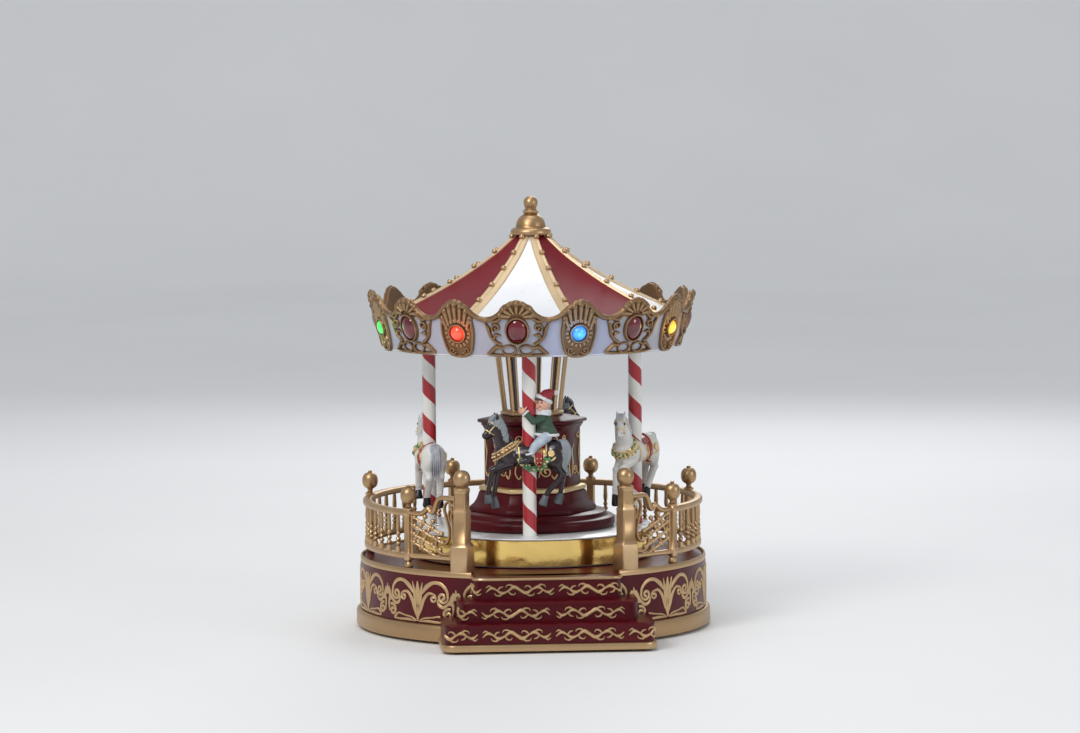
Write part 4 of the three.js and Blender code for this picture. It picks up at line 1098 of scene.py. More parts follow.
def bulge(place, z, rx, rz, depth, rings=7, across=36):
    # a cabochon: an oval dome standing on the surface, closed behind
    verts = []
    faces = []
    for i in range(rings):
        t = math.pi / 2 * i / rings
        for k in range(across):
            a = 2 * math.pi * k / across
            verts.append(place(rx * math.cos(t) * math.cos(a), z + rz * math.cos(t) * math.sin(a),
                               depth * math.sin(t)))
    top = len(verts)
    verts.append(place(0, z, depth))
    for i in range(rings - 1):
        for k in range(across):
            n = (k + 1) % across
            faces.append([i * across + k, i * across + n, (i + 1) * across + n, (i + 1) * across + k])
    for k in range(across):
        faces.append([(rings - 1) * across + k, (rings - 1) * across + (k + 1) % across, top])
    faces.append(list(range(across))[::-1])
    return verts, faces


def makeCorniceOrnament():
    turn = onAxis(canopyTurn)
    shape = Shape()
    for unit in range(canopy["units"]):
        place = onCornice(unitPitch * unit)
        pair = unit // 2
        topEdge(shape, place)
        if unit % 2:
            z = canopy["lampHeight"]
            lampUnit(shape, place, z)
            colour = canopy["colours"][pair % 4]
            dome = Shape().add(bulge(place, z, canopy["lamp"], canopy["lamp"], 3.6))
            piece = makePiece(f"lampDome{pair + 1}", dome, [colour], "turntable", (), turn)
            hangLight(piece, turn @ place(0, z - 1, 9), colour)
        else:
            z = canopy["stoneHeight"]
            stoneUnit(shape, place, z)
            shape.add(ovalRing(place, z, 6.0, 7.2, 1.5, 2.1))
            stone = Shape().add(bulge(place, z, *canopy["stone"], 3.4))
            makePiece(f"ovalStone{pair + 1}", stone, ["ruby"], "turntable", (), turn)
    makePiece("corniceOrnament", shape, ["bronze"], "turntable", (), turn, 50)


def hangLight(piece, place, colour):
    # the lamp's own glow on what stands near it
    data = bpy.data.lights.new("glow" + colour, "POINT")
    data.energy = canopy["glow"].get(colour, canopy["glow"]["others"])
    data.color = domeLight[colour]
    data.shadow_soft_size = 0.004
    lamp = bpy.data.objects.new("glow" + colour, data)
    bpy.context.scene.collection.objects.link(lamp)
    lamp.parent = piece
    lamp.location = place * mm


roof = {"line": [(8.8, 217.6), (13.5, 213.6), (21, 207.5), (31.3, 200.6), (43.8, 193), (60, 184.6), (82.8, 174.2)],
        "levels": 22, "across": 10, "sag": 0.9, "thick": 1.8, "beads": (11, 21, 33, 47, 62, 76), "bead": 1.6,
        "rib": [(-1.3, -0.9), (-1.25, 0.5), (-0.8, 1.05), (0.6, 1.15), (1.2, 0.8), (1.5, 0.55), (3.9, 0.5),
                (4.5, 0.1), (4.5, -1.2)]}
roofCurve = smoothLine(roof["line"], 6)
roofRibs = [(45 * rib + 22.5, 1 if rib % 2 else -1) for rib in range(8)]     # the cream band lies on the white side


def roofPoint(level):
    # radius and height down a rib, from 0 at the top to the last level at the eave
    k = min(level / roof["levels"], 0.9999) * (len(roofCurve) - 1)
    i = int(k)
    return roofCurve[i].lerp(roofCurve[i + 1], k - i)


def makeRoof():
    turn = onAxis(canopyTurn)
    levels = roof["levels"]
    across = roof["across"]
    shape = Shape()
    for panel in range(8):
        left = 45 * panel - 22.5
        rows = []
        for i in range(levels + 1):
            radius, z = roofPoint(i)
            a = around(radius, left, z)
            b = around(radius, left + 45, z)
            sag = roof["sag"] * math.sin(math.pi * i / levels)
            row = []
            for k in range(across + 1):
                row.append(a.lerp(b, k / across) - Vector((0, 0, sag * math.sin(math.pi * k / across))))
            rows.append(row + [v - Vector((0, 0, roof["thick"])) for v in row][::-1])
        shape.add(grid(rows), panel % 2)
    makePiece("roofPanels", shape, ["roofWhite", "roofRed"], "turntable", ["roof"], turn)
    ribs = Shape()
    down = Vector((0, 0, -0.4142 * 0.46))
    for a, whiteSide in roofRibs:
        rows = []
        side = around(1, a + 90) * whiteSide
        for i in range(levels + 1):
            radius, z = roofPoint(i)
            centre = around(radius, a, z)
            grow = 0.75 + 0.45 * i / levels
            row = [centre + side * (s * grow) + down * (abs(s) * grow) + Vector((0, 0, h)) for s, h in roof["rib"]]
            rows.append(row[::whiteSide])
        ribs.add(grid(rows))
    makePiece("roofRibs", ribs, ["creamGold"], "turntable", (), turn)
    beads = Shape()
    for a, whiteSide in roofRibs:
        for radius in roof["beads"]:
            centre = around(radius, a, beadHeight(radius) + 1.3) + around(0.2, a + 90) * whiteSide
            beads.add(sphere(centre, roof["bead"], 16, 10))
    makePiece("roofBeads", beads, ["antiqueGold"], "turntable", (), turn)


def beadHeight(radius):
    for a, b in zip(roofCurve, roofCurve[1:]):
        if a.x <= radius <= b.x:
            return a.y + (b.y - a.y) * (radius - a.x) / (b.x - a.x)
    return roofCurve[-1].y


def makeCanopyRest():
    turn = onAxis(canopyTurn)
    ceiling = Shape()
    ceiling.add(lathe([(3.4, 157.4), (79.6, 157.4), (80.5, 157.7), (80.5, 159.4), (7, 159.4), (7, 164), (3.4, 164),
                       (3.4, 157.4)], 160))
    for radius in (28, 44, 70):
        ceiling.add(arcRail(radius, 0, 360, [(-0.6, 157.5), (-0.4, 156.9), (0.4, 156.9), (0.6, 157.5)], 3, True))
    guide = lathe([(4.1, 156.6), (5.6, 156.6), (5.9, 156.9), (5.9, 157.5), (4.1, 157.5), (4.1, 156.6)], 32)
    for angle in quarters:
        ceiling.add(guide, 0, onCircle(turntable["poleCircle"], angle + tableTurn - canopyTurn))
    makePiece("canopyCeiling", ceiling, ["floorWhite"], "turntable", ["canopy_ceiling"], turn)
    finial = Shape()
    finial.add(lathe([(0, 219.4), (9, 219.4), (10.2, 218.2), (10.9, 217.9), (11.2, 218.6), (11.25, 219.6),
                      (10.9, 220.6), (10.1, 221.3), (8.9, 221.6), (8.4, 222.0), (8.2, 223.0), (7.9, 224.6),
                      (7.2, 226.2), (6.0, 227.7), (4.6, 228.7), (3.6, 229.1), (3.9, 229.5), (4.4, 230.1),
                      (4.45, 230.8), (4.0, 231.4), (3.4, 231.7), (3.1, 232.2), (3.3, 233.0), (3.75, 234.1),
                      (4.0, 235.3), (3.85, 236.6), (3.2, 237.9), (2.1, 238.8), (0.9, 239.15), (0, 239.2)], 48))
    makePiece("roofFinial", finial, ["antiqueGold"], "turntable", ["roof_finial"], turn)


makeCorniceWall()
makeCorniceOrnament()
makeRoof()
makeCanopyRest()
print("canopy made")

poles = {"radius": 3.8, "bottom": 43.0, "top": 168.0,
         "angle": {"front": 0, "right": 90, "back": 180, "left": 270},
         "stripeFrom": {"front": 55.9, "right": 48.8, "back": 52.0, "left": 59.0},
         "horseTurn": {"front": 0, "right": -26, "back": 0, "left": 12},
         "horseLift": {"front": 0, "right": -5, "back": 1.4, "left": -2.2}}


def riseOf(name):
    # how far above mid stroke a horse stands at rest
    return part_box("pole_" + name)[0].z / mm - poles["bottom"]


def station(name, turned=0.0, lift=0.0):
    angle = poles["angle"][name]
    foot = around(turntable["poleCircle"], angle, riseOf(name) + lift)
    return onAxis(tableTurn) @ Matrix.Translation(foot) @ turnZ(angle + turned)


def horsePlace(name):
    return station(name, poles["horseTurn"][name], poles["horseLift"][name])


def makePoles():
    for name in poles["angle"]:
        r = poles["radius"]
        low = poles["bottom"]
        high = poles["top"]
        profile = [(0, low), (r - 0.6, low), (r, low + 0.6), (r, high - 0.6), (r - 0.6, high), (0, high)]
        shape = Shape().add(lathe(profile, 40))
        place = station(name)
        origin = place @ Vector((0, 0, 0))
        origin.z = poles["stripeFrom"][name]
        makePiece("pole_" + name + "_striped", shape, ["candyStripe"], "horse_" + name,
                  ["pole_" + name], place, 40, origin)


makePoles()


# Each horse faces -X in its own place, with the pole up through the origin.
def melt(parts, voxel=0.33, rounds=3):
    # one smooth skin over overlapping limbs
    shape = Shape()
    for part in parts:
        shape.add(part)
    mesh = bpy.data.meshes.new("blob")
    mesh.from_pydata(shape.verts, [], shape.faces)
    blob = bpy.data.objects.new("blob", mesh)
    bpy.context.scene.collection.objects.link(blob)
    skin = blob.modifiers.new("skin", "REMESH")
    skin.mode = "VOXEL"
    skin.voxel_size = voxel
    soft = blob.modifiers.new("soft", "SMOOTH")
    soft.factor = 0.5
    soft.iterations = rounds
    whole = bpy.data.meshes.new_from_object(blob.evaluated_get(bpy.context.evaluated_depsgraph_get()))
    bpy.data.objects.remove(blob)
    return [v.co.copy() for v in whole.vertices], [list(p.vertices) for p in whole.polygons]


def squeezed(part, y, scale):
    # a limb made flatter across the horse
    verts, faces = part
    return [Vector((v.x, y + (v.y - y) * scale, v.z)) for v in verts], faces


# each side's forearm, knee, fetlock and hoof top in front, then thigh, hock, fetlock and hoof top behind, as (x, z)
legLines = {-1: {"front": [(-10.4, 95.0), (-20.0, 91.0), (-22.2, 80.4), (-22.8, 77.4)], "frontHoof": (-22.0, 72.7),
                 "back": [(14.6, 95.0), (18.2, 88.4), (10.0, 78.6), (9.0, 77.0)], "backHoof": (7.0, 71.6)},
            1: {"front": [(-9.6, 94.6), (-17.4, 89.6), (-19.2, 78.8), (-19.6, 75.8)], "frontHoof": (-18.4, 69.6),
                "back": [(14.4, 95.4), (18.6, 89.0), (17.2, 80.2), (16.8, 77.8)], "backHoof": (15.2, 71.9)}}
legWidth = {"hip": 3.6, "hoof": 2.9}
headPose = {"pollX": -17.6, "turn": 20}      # the head is turned a little outwards


def onHead(x, y, z):
    a = math.radians(headPose["turn"])
    dx = x - headPose["pollX"]
    return Vector((headPose["pollX"] + dx * math.cos(a) - y * math.sin(a), dx * math.sin(a) + y * math.cos(a), z))


def headParts():
    parts = [sphere((-18.4, 0, 115.2), (3.5, 2.65, 3.5), 20, 14),
             squeezed(limb((-19.0, 0, 117.0), 2.9, (-23.2, 0, 110.8), 2.0, 18), 0, 0.9),
             sphere((-24.0, 0, 109.9), (2.2, 1.95, 2.1), 18, 12),
             limb((-20.8, 0, 111.4), 1.5, (-23.0, 0, 108.6), 1.2, 12)]
    for side in (-1, 1):
        ear = limb((-17.5, 1.8 * side, 119.0), 1.3, (-18.2, 2.3 * side, 122.0), 0.5, 10)
        parts.append(squeezed(ear, 2 * side, 0.8))
        parts.append(sphere((-20.7, 1.85 * side, 115.5), (0.95, 0.6, 0.8), 12, 8))
        parts.append(sphere((-24.8, 1.05 * side, 110.5), (0.7, 0.5, 0.6), 10, 6))
    return [([onHead(*v) for v in verts], faces) for verts, faces in parts]


def horseParts():
    parts = [sphere((0.5, 0, 98.4), (15, 6.6, 6.8), 32, 20), sphere((-12.4, 0, 99.0), (7.2, 6.7, 7.4), 28, 18),
             sphere((14.0, 0, 99.6), (8.2, 7.1, 8.0), 28, 18), limb((-7, 0, 101.2), 4.6, (7, 0, 101.0), 4.8, 20)]
    neck = [((-12.2, 101.4), 6.0), ((-14.8, 107.4), 5.0), ((-16.8, 112.8), 4.2), ((-17.8, 116.6), 3.5)]
    for (a, ra), (b, rb) in zip(neck, neck[1:]):
        parts.append(squeezed(limb((a[0], 0, a[1]), ra, (b[0], 0, b[1]), rb, 20), 0, 0.92))
    parts += headParts()
    for side in (-1, 1):
        hip = legWidth["hip"] * side
        foot = legWidth["hoof"] * side
        parts.append(sphere((-10.8, hip, 97.6), (4.6, 3.2, 5.8), 20, 12))
        parts.append(sphere((14.8, hip, 97.0), (5.8, 3.5, 7.0), 20, 12))
        front = legLines[side]["front"]
        back = legLines[side]["back"]
        for line, radii in ((front, (3.3, 2.0, 1.3, 1.35)), (back, (4.0, 2.0, 1.35, 1.4))):
            for i in range(3):
                y = hip if i == 0 else foot
                a = (line[i][0], y, line[i][1])
                b = (line[i + 1][0], foot, line[i + 1][1])
                thick = radii[i] * (1.0 if i == 0 else 0.82)
                wide = 1.0 if i == 0 else 1.45
                parts.append(squeezed(limb(a, thick, b, radii[i + 1], 14), foot, wide))
            knee = (radii[1] * 1.1, radii[1] * 1.3, radii[1] * 1.1)
            parts.append(sphere((line[1][0], foot, line[1][1]), knee, 14, 10))
            parts.append(sphere((line[2][0], foot, line[2][1]), (1.6, 2.0, 1.6), 14, 10))
    return parts


def wrapLine(tree, centre, axis, start=0, end=360, count=44, lift=0.3, reach=24, across=Vector((0, -1, 0))):
    # points and outward directions where a plane through the centre cuts the skin; 0 is up, 90 towards across
    centre = Vector(centre)
    axis = Vector(axis).normalized()
    up = across.cross(axis).normalized()
    if up.z < 0:
        up = -up
    line = []
    for i in range(count + 1):
        a = math.radians(start + (end - start) * i / count)
        out = up * math.cos(a) + across * math.sin(a)
        hit, normal, _, _ = tree.ray_cast(centre + out * reach, -out)
        if hit:
            line.append((hit + normal * lift, normal))
    return line


def strap(line, width, thick, closed=False):
    # a flat strap lying on the skin
    rows = []
    count = len(line)
    for i, (p, normal) in enumerate(line):
        ahead = line[(i + 1) % count][0] if closed or i + 1 < count else p
        behind = line[i - 1][0] if closed or i else p
        side = (ahead - behind).cross(normal)
        side = side.normalized() if side.length > 1e-6 else Vector((1, 0, 0))
        rows.append([p + side * (width * s) + normal * (thick * h)
                     for s, h in ((-0.5, -1), (-0.5, 0.4), (-0.3, 1), (0.3, 1), (0.5, 0.4), (0.5, -1))])
    return grid(rows, closeRows=closed)


def beadsOn(shape, line, size, mat, every=1):
    for p, normal in line[::every]:
        shape.add(sphere(p + normal * (size * 0.4), size, 10, 7), mat)


def lock(points, thick, width, tip=0.12, steps=5):
    # a tapering lock of hair
    path = smoothLine(points, steps)
    last = len(path) - 1
    sizes = [max(tip, math.sin(math.pi * min(1, 0.28 + 0.72 * i / last))) for i in range(last + 1)]
    return sweep(path, [(width * math.cos(a), thick * math.sin(a)) for a in [math.pi * k / 4 for k in range(8)]],
                 sizes, up=(0, 1, 0))


def maneLocks(seed):
    random.seed(seed)
    crest = smoothLine([(-18.8, 119.4), (-16.4, 119.2), (-13.6, 115.2), (-12.4, 110.8), (-10.8, 106.8),
                        (-8.0, 104.4)], 5)
    locks = []
    for i, p in enumerate(crest):
        for side in (-1, 1):
            sway = random.uniform(-0.4, 0.4)
            reach = random.uniform(0.85, 1.15)
            t = i / (len(crest) - 1)
            fall = 4.2 + 1.6 * t
            out = 2.4 + 2.0 * t
            locks.append(lock([(p.x - 1.2, 0, p.y - 0.8), (p.x - 0.1, side * out * 0.45, p.y + 0.1),
                               (p.x + 0.1 + sway, side * out * 0.95, p.y - fall * 0.4 * reach),
                               (p.x - 0.8 + sway, side * (out + 0.7), p.y - fall * 0.8 * reach),
                               (p.x + 0.2 + sway, side * (out + 0.5), p.y - fall * reach)], 0.6, 0.95))
    for k in range(-2, 3):
        locks.append(lock([onHead(-17.0, 0.6 * k, 119.6), onHead(-19.0, 0.75 * k, 120.4),
                           onHead(-20.9, 0.8 * k, 118.6), onHead(-21.8, 0.7 * k, 116.2),
                           onHead(-22.6, 0.5 * k, 114.8)], 0.6, 0.9))
    return locks


def tailLocks(seed, swing):
    # swing carries the tail over to the near side
    random.seed(seed)
    locks = []
    for k in range(15):
        side = (k % 5 - 2) * 0.85
        back = 0.9 * (k // 5)
        curl = random.uniform(-0.6, 0.6)
        locks.append(lock([(17.4 - back, side * 0.5, 106.4), (20.0 - back, side - swing * 0.35, 106.0),
                           (21.9 - back * 1.6, side * 1.1 - swing * 0.8, 101.8),
                           (21.6 - back * 1.6, side * 1.25 - swing + curl * 0.3, 96.8),
                           (20.2 - back * 0.8 + curl * 0.4, side * 1.3 - swing, 92.2),
                           (22.6 - back * 0.4 + curl * 0.3, side * 1.1 - swing * 0.9 + curl * 0.5, 87.4 + back)],
                          1.0, 1.3, 0.12, 6))
    return locks


def addHoof(shape, fetlock, foot, y, mat):
    top = Vector((fetlock[0], y, fetlock[1]))
    low = Vector((foot[0], y, foot[1]))
    length = (low - top).length
    turn = (low - top).to_track_quat("Z", "Y").to_matrix()
    profile = [(0, -0.7), (1.3, -0.6), (1.8, 0.0), (2.05, length * 0.3), (2.4, length * 0.7), (2.5, length * 0.88),
               (2.2, length - 0.1), (0, length)]
    verts, faces = lathe(profile, 20)
    shape.add(([turn @ Vector((v.x, v.y * 0.95, v.z)) + top for v in verts], faces), mat)


def saddlePatch(tree, xs, span, lift, thick, edge=0.0):
    # a shaped pad draped over the back: span(x) is how far down each side it hangs, in degrees from the top
    rows = []
    for i, x in enumerate(xs):
        outer = []
        inner = []
        t = i / (len(xs) - 1)
        for k in range(25):
            s = k / 24 * 2 - 1
            a = math.radians(s * span(t))
            out = Vector((0, math.sin(a), math.cos(a)))
            hit = tree.ray_cast(Vector((x, 0, 99)) + out * 22, -out)[0]
            rim = max(abs(2 * t - 1), abs(s)) ** 6 * edge
            outer.append(hit + out * (lift(t, s) + rim + thick))
            inner.append(hit - out * 0.5)
        rows.append(outer + inner[::-1])
    return grid(rows)


def seatLift(t, s):
    # the pommel and the cantle stand up at the two ends of the seat
    up = max(0.0, 1 - abs(s) * 1.4)
    return up * (1.0 * max(0, (t - 0.55) / 0.45) ** 1.5 + 1.0 * max(0, (0.3 - t) / 0.3))


def skinAt(tree, side, x, z):
    # where the skin is on one side of the horse, and its outward direction
    return tree.ray_cast(Vector((x, side * 24, z)), Vector((0, -side, 0)))[:2]


def dropFlap(tree, side, x, low, high, wide, lift):
    # a pointed tab hanging down the horse's side
    rows = []
    for i in range(9):
        t = i / 8
        z = high + (low - high) * t
        half = wide / 2 * (1 - 0.25 * t if t < 0.6 else 0.85 * (1 - t) / 0.4 + 0.02)
        row = []
        for s in (-1, -0.5, 0, 0.5, 1):
            point = skinAt(tree, side, x + half * s, z)[0] or Vector((x + half * s, side * 5.8, z))
            row.append(point + Vector((0, side * lift * (1 if abs(s) < 0.9 else 0.6), 0)))
        rows.append(row + [p - Vector((0, side * (lift + 0.4), 0)) for p in row[::-1]])
    return grid(rows)


horseLooks = {"front": {"dark": True, "mane": "maneGrey", "tail": "maneGrey", "swing": 3.6},
              "back": {"dark": True, "mane": "maneGrey", "tail": "maneGrey", "swing": 3.6},
              "right": {"dark": False, "mane": "maneWhite", "tail": "maneWhite", "swing": 0},
              # the left horse's tail takes a grey copy of its white hair: painted shade
              "left": {"dark": False, "mane": "maneWhite", "tail": "tailWhitePaintedShade", "swing": 0}}


def makeHorse(name, skin, tree):
    look = horseLooks[name]
    dark = look["dark"]
    body = "horse_" + name
    place = horsePlace(name)
    coat = Shape().add(skin)
    for side in (-1, 1):
        line = legLines[side]
        addHoof(coat, line["front"][3], line["frontHoof"], legWidth["hoof"] * side, 1)
        addHoof(coat, line["back"][3], line["backHoof"], legWidth["hoof"] * side, 1)
        coat.add(sphere(onHead(-21.1, 2.2 * side, 115.5), (0.75, 0.75, 0.7), 14, 10), 2)
        coat.add(sphere(onHead(-25.5, 1.15 * side, 110.6), (0.34, 0.3, 0.28), 8, 6), 2)
    paint = ["horseDark", "hoofGrey"] if dark else ["horseWhite", "hoofBlack"]
    makePiece(body + "_coat", coat, paint + ["eyePaint"], body, [body], place, 60)
    hair = Shape()
    for part in maneLocks(7 + poles["angle"][name]):
        hair.add(part, 0)
    for part in tailLocks(3 + poles["angle"][name], look["swing"]):
        hair.add(part, 1)
    makePiece(body + "_hair", hair, [look["mane"], look["tail"]], body, (), place, 60)
    makeTack(name, tree, place, dark)


def sideLine(tree, side, points, lift, steps=4):
    # points and outward directions along (x, z) marks on one side of the horse
    line = []
    for p in smoothLine(points, steps):
        hit, normal = skinAt(tree, side, p.x, p.y)
        if hit:
            line.append((hit + normal * lift, normal))
    return line


def addBridle(tack, tree):
    poll = onHead(headPose["pollX"], 0, 0)
    across = onHead(headPose["pollX"], -1, 0) - poll
    along = onHead(headPose["pollX"] - 4.4, 0, -6.2) - poll
    for x, z, count in ((-22.4, 111.9, 28), (-19.3, 115.7, 32)):
        ring = wrapLine(tree, onHead(x, 0, z), along, count=count, reach=4.6, lift=0.05, across=across)
        tack.add(strap(ring[:-1], 0.75, 0.28, True), 0)
    for side in (-1, 1):
        cheek = []
        for t in (0, 0.25, 0.5, 0.75, 1):
            hit, normal, _, reach = tree.ray_cast(onHead(-19.7 - 2.9 * t, 6 * side, 115.2 - 3.2 * t), across * side)
            if hit and reach < 5.2:
                cheek.append((hit + normal * 0.05, normal))
        if len(cheek) > 2:
            tack.add(strap(cheek, 0.65, 0.28), 0)
        tack.add(sphere(onHead(-22.3, 2.05 * side, 111.5), (0.6, 0.45, 0.6), 10, 8), 0)


def addCollar(tack, tree, dark):
    axis = Vector((-0.52, 0, 0.85))
    collar = wrapLine(tree, (-11.6, 0, 102.6), axis, count=56, lift=0.1)[:-1]
    tack.add(strap(collar, 4.2, 0.4, True), 3)
    for i, (p, normal) in enumerate(collar):
        along = normal.cross(normal.cross(axis).normalized())
        if dark:
            for s in (-1.75, 1.75):
                tack.add(sphere(p + along * (s + 0.25 * (i % 2)) + normal * 0.35, 0.4, 8, 6), 0)
            if i % 3 == 0:
                tack.add(sphere(p + normal * 0.4, (0.95, 0.95, 0.7), 10, 7), 0)
        else:
            for _ in range(4):
                shift = along * random.uniform(-2, 2) + normal * 0.5
                green = random.random() < 0.3
                tack.add(sphere(p + shift, random.uniform(0.42, 0.72), 8, 6), 2 if green else 0)


def addGarland(tack, tree, side):
    # a leafy swag under the saddle with a few gilt berries
    swag = [(-4.6, 97.0), (-2.2, 94.4), (1.4, 92.8), (5.2, 92.8), (8.4, 94.2), (11.2, 97.4)]
    line = sideLine(tree, side, swag, 0.5, 6)
    for p, normal in line:
        for _ in range(5):
            shift = Vector((random.uniform(-0.9, 0.9), side * random.uniform(-0.2, 0.5), random.uniform(-1.3, 1.3)))
            gold = random.random() < 0.16
            size = random.uniform(0.45, 0.85)
            tack.add(sphere(p + normal * 0.4 + shift, (size * 1.2, size * 0.8, size), 8, 6), 0 if gold else 2)


saddle = {"cloth": (1.0, 9.6), "seat": (0.6, 9.0), "flapAt": 5.6,
          "flaps": [(0, 91.0, 101.0, 6.2, 1.2), (1, 92.0, 101.1, 4.8, 1.7)],
          "studs": [(5.6, 93.4), (4.7, 95.4), (6.5, 95.4), (4.5, 97.8), (6.7, 97.8)], "rosette": (12.2, 100.4),
          "scroll": [(8.6, 98.0), (10.4, 96.6), (12.8, 96.8), (14.6, 98.4)],
          "girth": [(-5.6, 103.6), (-5.2, 100), (-4.8, 96.4), (-4.2, 93.6)]}


def evenly(ends, count):
    return [ends[0] + (ends[1] - ends[0]) * i / count for i in range(count + 1)]


def addSaddle(tack, tree, dark):
    cloth = saddlePatch(tree, evenly(saddle["cloth"], 12), lambda t: 88 + 12 * math.sin(math.pi * t),
                        lambda t, s: 0.0, 0.4, 0.2)
    tack.add(cloth, 0 if dark else 1)
    tack.add(saddlePatch(tree, evenly(saddle["seat"], 14), lambda t: 60 - 14 * t, seatLift, 0.8, 0.2), 1)
    for x in saddle["cloth"]:
        rim = wrapLine(tree, (x, 0, 99), (1, 0, 0), -88, 88, 40, 0.35)
        tack.add(strap(rim, 0.8, 0.3), 0)
        beadsOn(tack, rim, 0.45, 0, 2)
    for side in (-1, 1):
        for mat, low, high, wide, lift in saddle["flaps"]:
            tack.add(dropFlap(tree, side, saddle["flapAt"], low, high, wide, lift), mat)
        for x, z in saddle["studs"]:
            tack.add(sphere(skinAt(tree, side, x, z)[0] + Vector((0, side * 1.8, 0)), 0.42, 10, 7), 0)
        rosette = skinAt(tree, side, *saddle["rosette"])[0]
        for k in range(9):
            a = 2 * math.pi * k / 8
            r = 0 if k == 8 else 1.25
            petal = rosette + Vector((r * math.cos(a), side * 0.3, r * math.sin(a)))
            tack.add(sphere(petal, (0.8, 0.55, 0.8), 10, 7), 0)
        tack.add(strap(sideLine(tree, side, saddle["scroll"], 0.1), 0.9, 0.4), 0)
        tack.add(strap(sideLine(tree, side, saddle["girth"], 0.05), 1.0, 0.35), 0)


def makeTack(name, tree, place, dark):
    # 0 gold, 1 red, 2 green, 3 the collar's ground
    body = "horse_" + name
    random.seed(21 + poles["angle"][name])
    tack = Shape()
    addBridle(tack, tree)
    addCollar(tack, tree, dark)
    if dark:
        for side in (-1, 1):
            addGarland(tack, tree, side)
    addSaddle(tack, tree, dark)
    looks = ["tackGold", "saddleRed", "garlandGreen", "bronze" if dark else "tackGold"]
    makePiece(body + "_tack", tack, looks, body, (), place, 60)


def makeHorses():
    skin = melt(horseParts(), 0.42, 3)
    tree = BVHTree.FromPolygons(*skin)
    for name in poles["angle"]:
        makeHorse(name, skin, tree)


makeHorses()
print("horses made")

# The rider is a plain little figure hugging the pole.
rider = {"head": (9.3, -0.3, 128.6), "look": -62.0, "shift": (-1.6, 0, -1.4),
         "thigh": [((11.0, 3.0, 110.8), 3.4), ((4.8, 7.4, 105.8), 2.4), ((2.0, 8.1, 100.8), 1.75)],
         "boot": [((2.0, 8.2, 101.6), 1.9, (1.2, 8.4, 98.6), 1.8),
                  ((1.6, 8.5, 98.4), 1.7, (-2.4, 8.8, 97.6), 1.45)],
         "arm": [((9.0, 3.4, 120.6), 2.35), ((4.2, 5.7, 119.4), 2.0), ((0.2, 5.2, 123.4), 1.6)],
         "buttons": (121, 118.6, 116.2), "bobble": (16.2, 0.8, 134.4),
         "hat": [((9.9, 0, 131.2), 4.05), ((11.2, 0.1, 133.0), 3.4), ((12.8, 0.3, 134.2), 2.5),
                 ((14.4, 0.5, 134.6), 1.6), ((15.4, 0.7, 134.4), 1.0)]}


def onSide(point, side):
    return (point[0], point[1] * side, point[2])


def limbChain(line, side, sides):
    # limbs joined end to end through (point, radius) marks, mirrored for the other side
    return [limb(onSide(a, side), ra, onSide(b, side), rb, sides) for (a, ra), (b, rb) in zip(line, line[1:])]


def ringAt(centre, radius, thick, tilt=(0, 0), squash=1.0, lumps=0.0, sides=40):
    # a soft roll of wool: radius and thickness, tilted about Y and about X
    rows = []
    turn = Matrix.Rotation(math.radians(tilt[0]), 3, "Y") @ Matrix.Rotation(math.radians(tilt[1]), 3, "X")
    for i in range(sides):
        a = 2 * math.pi * i / sides
        fat = thick * (1 + lumps * math.sin(5 * a + 1.3) * math.cos(3 * a))
        row = []
        for k in range(10):
            b = 2 * math.pi * k / 10
            out = radius + fat * math.cos(b)
            point = Vector((out * math.cos(a), out * math.sin(a) * squash, fat * math.sin(b)))
            row.append(Vector(centre) + turn @ point)
        rows.append(row)
    return grid(rows, closeRows=True)


def jacketParts():
    parts = [sphere((9.9, 0, 118.4), (4.5, 4.4, 4.9), 24, 16), sphere((10.7, 0, 114.6), (5.0, 4.8, 4.4), 24, 16),
             limb((9.6, 0, 120.4), 3.4, (9.4, 0, 123.6), 2.8, 18)]
    skirt = lathe([(0, 115.6), (4.6, 115.4), (5.4, 113.6), (6.1, 111.6), (5.9, 111.1), (0, 111.6)], 32)
    parts.append(([Vector((v.x * 1.06 + 11.0, v.y * 0.92, v.z)) for v in skirt[0]], skirt[1]))
    for side in (-1, 1):
        parts += limbChain(rider["arm"], side, 18)
    return parts


def onRiderFace(u, v, h):
    # a point on the front of the head: u across, v up, h out, in mm
    look = math.radians(rider["look"])
    x, y, z = rider["head"]
    a = look + u / 4.0
    radius = 3.85 * math.cos(v / 4.6) ** 0.6 + h
    return Vector((x - radius * math.cos(a), y + radius * math.sin(a), z + v))


def makeClothes(place):
    cloth = Shape().add(melt(jacketParts()), 0)
    legs = []
    boots = []
    for side in (-1, 1):
        legs += limbChain(rider["thigh"], side, 18)
        boots += [limb(onSide(a, side), ra, onSide(b, side), rb, 16) for a, ra, b, rb in rider["boot"]]
    cloth.add(melt(legs), 1)
    cloth.add(melt(boots, rounds=2), 2)
    for side in (-1, 1):
        cloth.add(ringAt((2.1, 8.2 * side, 101.9), 1.8, 0.6, (-14, 0), 1, 0.15, 24), 3)
        cloth.add(ringAt((0.0, 5.15 * side, 123.7), 1.6, 0.62, (-46, 8 * side), 1, 0.2, 24), 3)
    cloth.add(ringAt((11.2, 0, 111.7), 6.0, 0.85, (3, 0), 0.9, 0.16, 64), 3)
    cloth.add(ringAt((9.5, 0, 124.2), 2.9, 1.35, (6, -4), 0.95, 0.2), 3)
    cloth.add(ringAt((9.3, -0.4, 122.9), 3.4, 0.8, (4, -4), 0.95, 0.2), 3)
    a = math.radians(rider["look"] + 14)
    for z in rider["buttons"]:
        cloth.add(sphere((10.4 - 4.75 * math.cos(a), 4.75 * math.sin(a), z - 1), 0.45, 10, 8), 2)
    makePiece("riderClothes", cloth, ["jacketGreen", "trousers", "eyePaint", "woolWhite"], "horse_front",
              ["rider"], place, 60)


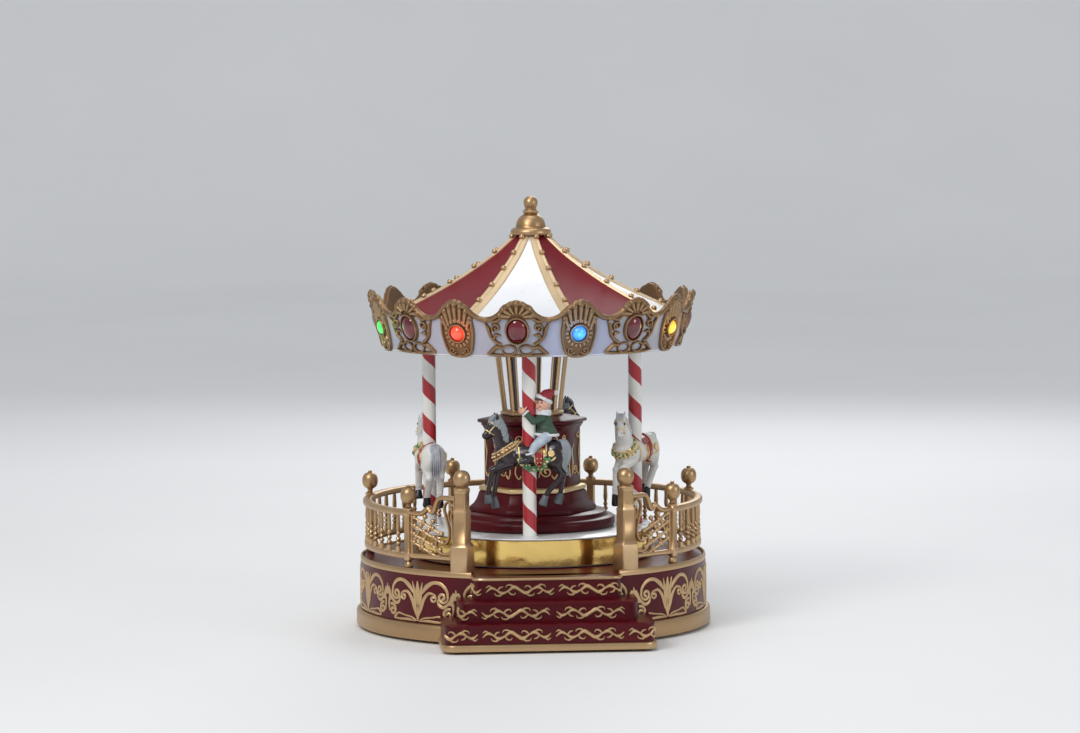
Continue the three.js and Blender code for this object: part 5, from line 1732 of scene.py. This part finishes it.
def makeHead(place):
    # the head and hands: skin, eyes, brows and hair, cheeks, mouth
    head = Shape()
    parts = [sphere(rider["head"], (3.75, 3.75, 4.3), 32, 20), sphere(onRiderFace(0, -0.4, 0.35), 0.72, 14, 10),
             sphere(onRiderFace(0, -3.1, -0.5), 1.3, 14, 10)]
    parts += [sphere(onRiderFace(1.9 * side, -1.2, -0.7), 1.35, 14, 10) for side in (-1, 1)]
    head.add(melt(parts, 0.26), 0)
    for side in (-1, 1):
        head.add(sphere((-1.3, 4.7 * side, 124.9), (1.5, 1.2, 1.6), 16, 12), 0)
        for k in range(3):
            z = 125.6 - 0.8 * k
            head.add(limb((-1.6 - 0.5 * k, 5.0 * side, z), 0.5, (-3.6, 3.3 * side, z + 0.3), 0.42, 10), 0)
        head.add(limb((-0.4, 4.9 * side, 126.0), 0.5, (0.4, 4.4 * side, 127.0), 0.42, 10), 0)
        head.add(sphere(onRiderFace(1.35 * side, 0.75, 0.02), (0.42, 0.42, 0.5), 14, 10), 1)
        brow = [(1.0 * side, 1.75), (1.5 * side, 1.95), (2.0 * side, 1.75)]
        head.add(stroke(brow, [0.2, 0.3, 0.2], 0.12, onRiderFace, 0.2), 2)
        head.add(sphere(onRiderFace(2.1 * side, -0.9, 0.0), (0.62, 0.62, 0.5), 12, 8), 3)
    mouth = smoothLine([(-0.8, -1.75), (-0.35, -1.95), (0.35, -1.95), (0.8, -1.75)], 4)
    head.add(stroke(mouth, [0.2, 0.34, 0.34, 0.2], 0.14, onRiderFace, 0.2), 4)
    for k in range(9):
        u = -3.2 + 0.8 * k
        fringe = [onRiderFace(u * 0.9, 3.2, 0.15), onRiderFace(u, 2.5, 0.42),
                  onRiderFace(u + 0.3, 1.9 - 0.08 * abs(k - 4), 0.3)]
        head.add(lock(fringe, 0.3, 0.45, 0.15, 4), 2)
    makePiece("riderHead", head, ["skin", "eyePaint", "hair", "blush", "lips"], "horse_front", (),
              place, 60)


def makeHat(place):
    hat = Shape()
    hat.add(melt(limbChain(rider["hat"], 1, 24), 0.3), 0)
    hat.add(ringAt((9.9, -0.1, 131.0), 3.7, 1.15, (27, -6), 0.98, 0.18), 1)
    random.seed(4)
    for k in range(26):
        a = k * 2.4
        z = -0.9 + 1.8 * k / 25
        r = math.sqrt(max(0, 1 - z * z))
        tuft = Vector(rider["bobble"]) + Vector((r * math.cos(a), r * math.sin(a), z)) * 0.95
        hat.add(sphere(tuft, random.uniform(0.5, 0.72), 10, 7), 1)
    makePiece("riderHat", hat, ["hatRed", "woolWhite"], "horse_front", (), place, 60)


def makeRider():
    place = horsePlace("front") @ Matrix.Translation(rider["shift"])
    makeClothes(place)
    makeHead(place)
    makeHat(place)


makeRider()
print("rider made")

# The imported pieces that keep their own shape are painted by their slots.
slotFinish = {"antique_gold": "antiqueGold", "burgundy_gloss": "burgundy", "black_plastic": "blackPlastic",
              "board_green": "board", "natural_plastic": "natural", "motor_steel": "steel",
              "mirror_panel": "mirror", "floor_white": "floorWhite", "gold_foil": "foilGold",
              "cornice_white": "corniceWhite", "roof_plastic": "roofRed", "candy_stripe": "saddleRed",
              "horse_dark": "horseDark", "horse_white": "horseWhite", "figure_paint": "jacketGreen",
              "foot_rubber": "rubber", "cell_wrap": "cellWrap"}


def paintKeptNodes():
    slots = {row["node"]: row["material_slot"] for row in frame["record"]["subparts"]}
    for name, node in frame["nodes"].items():
        node.data.materials.clear()
        node.data.materials.append(finishes[slotFinish[slots[name]]])


paintKeptNodes()
print("pieces made:", len(made))
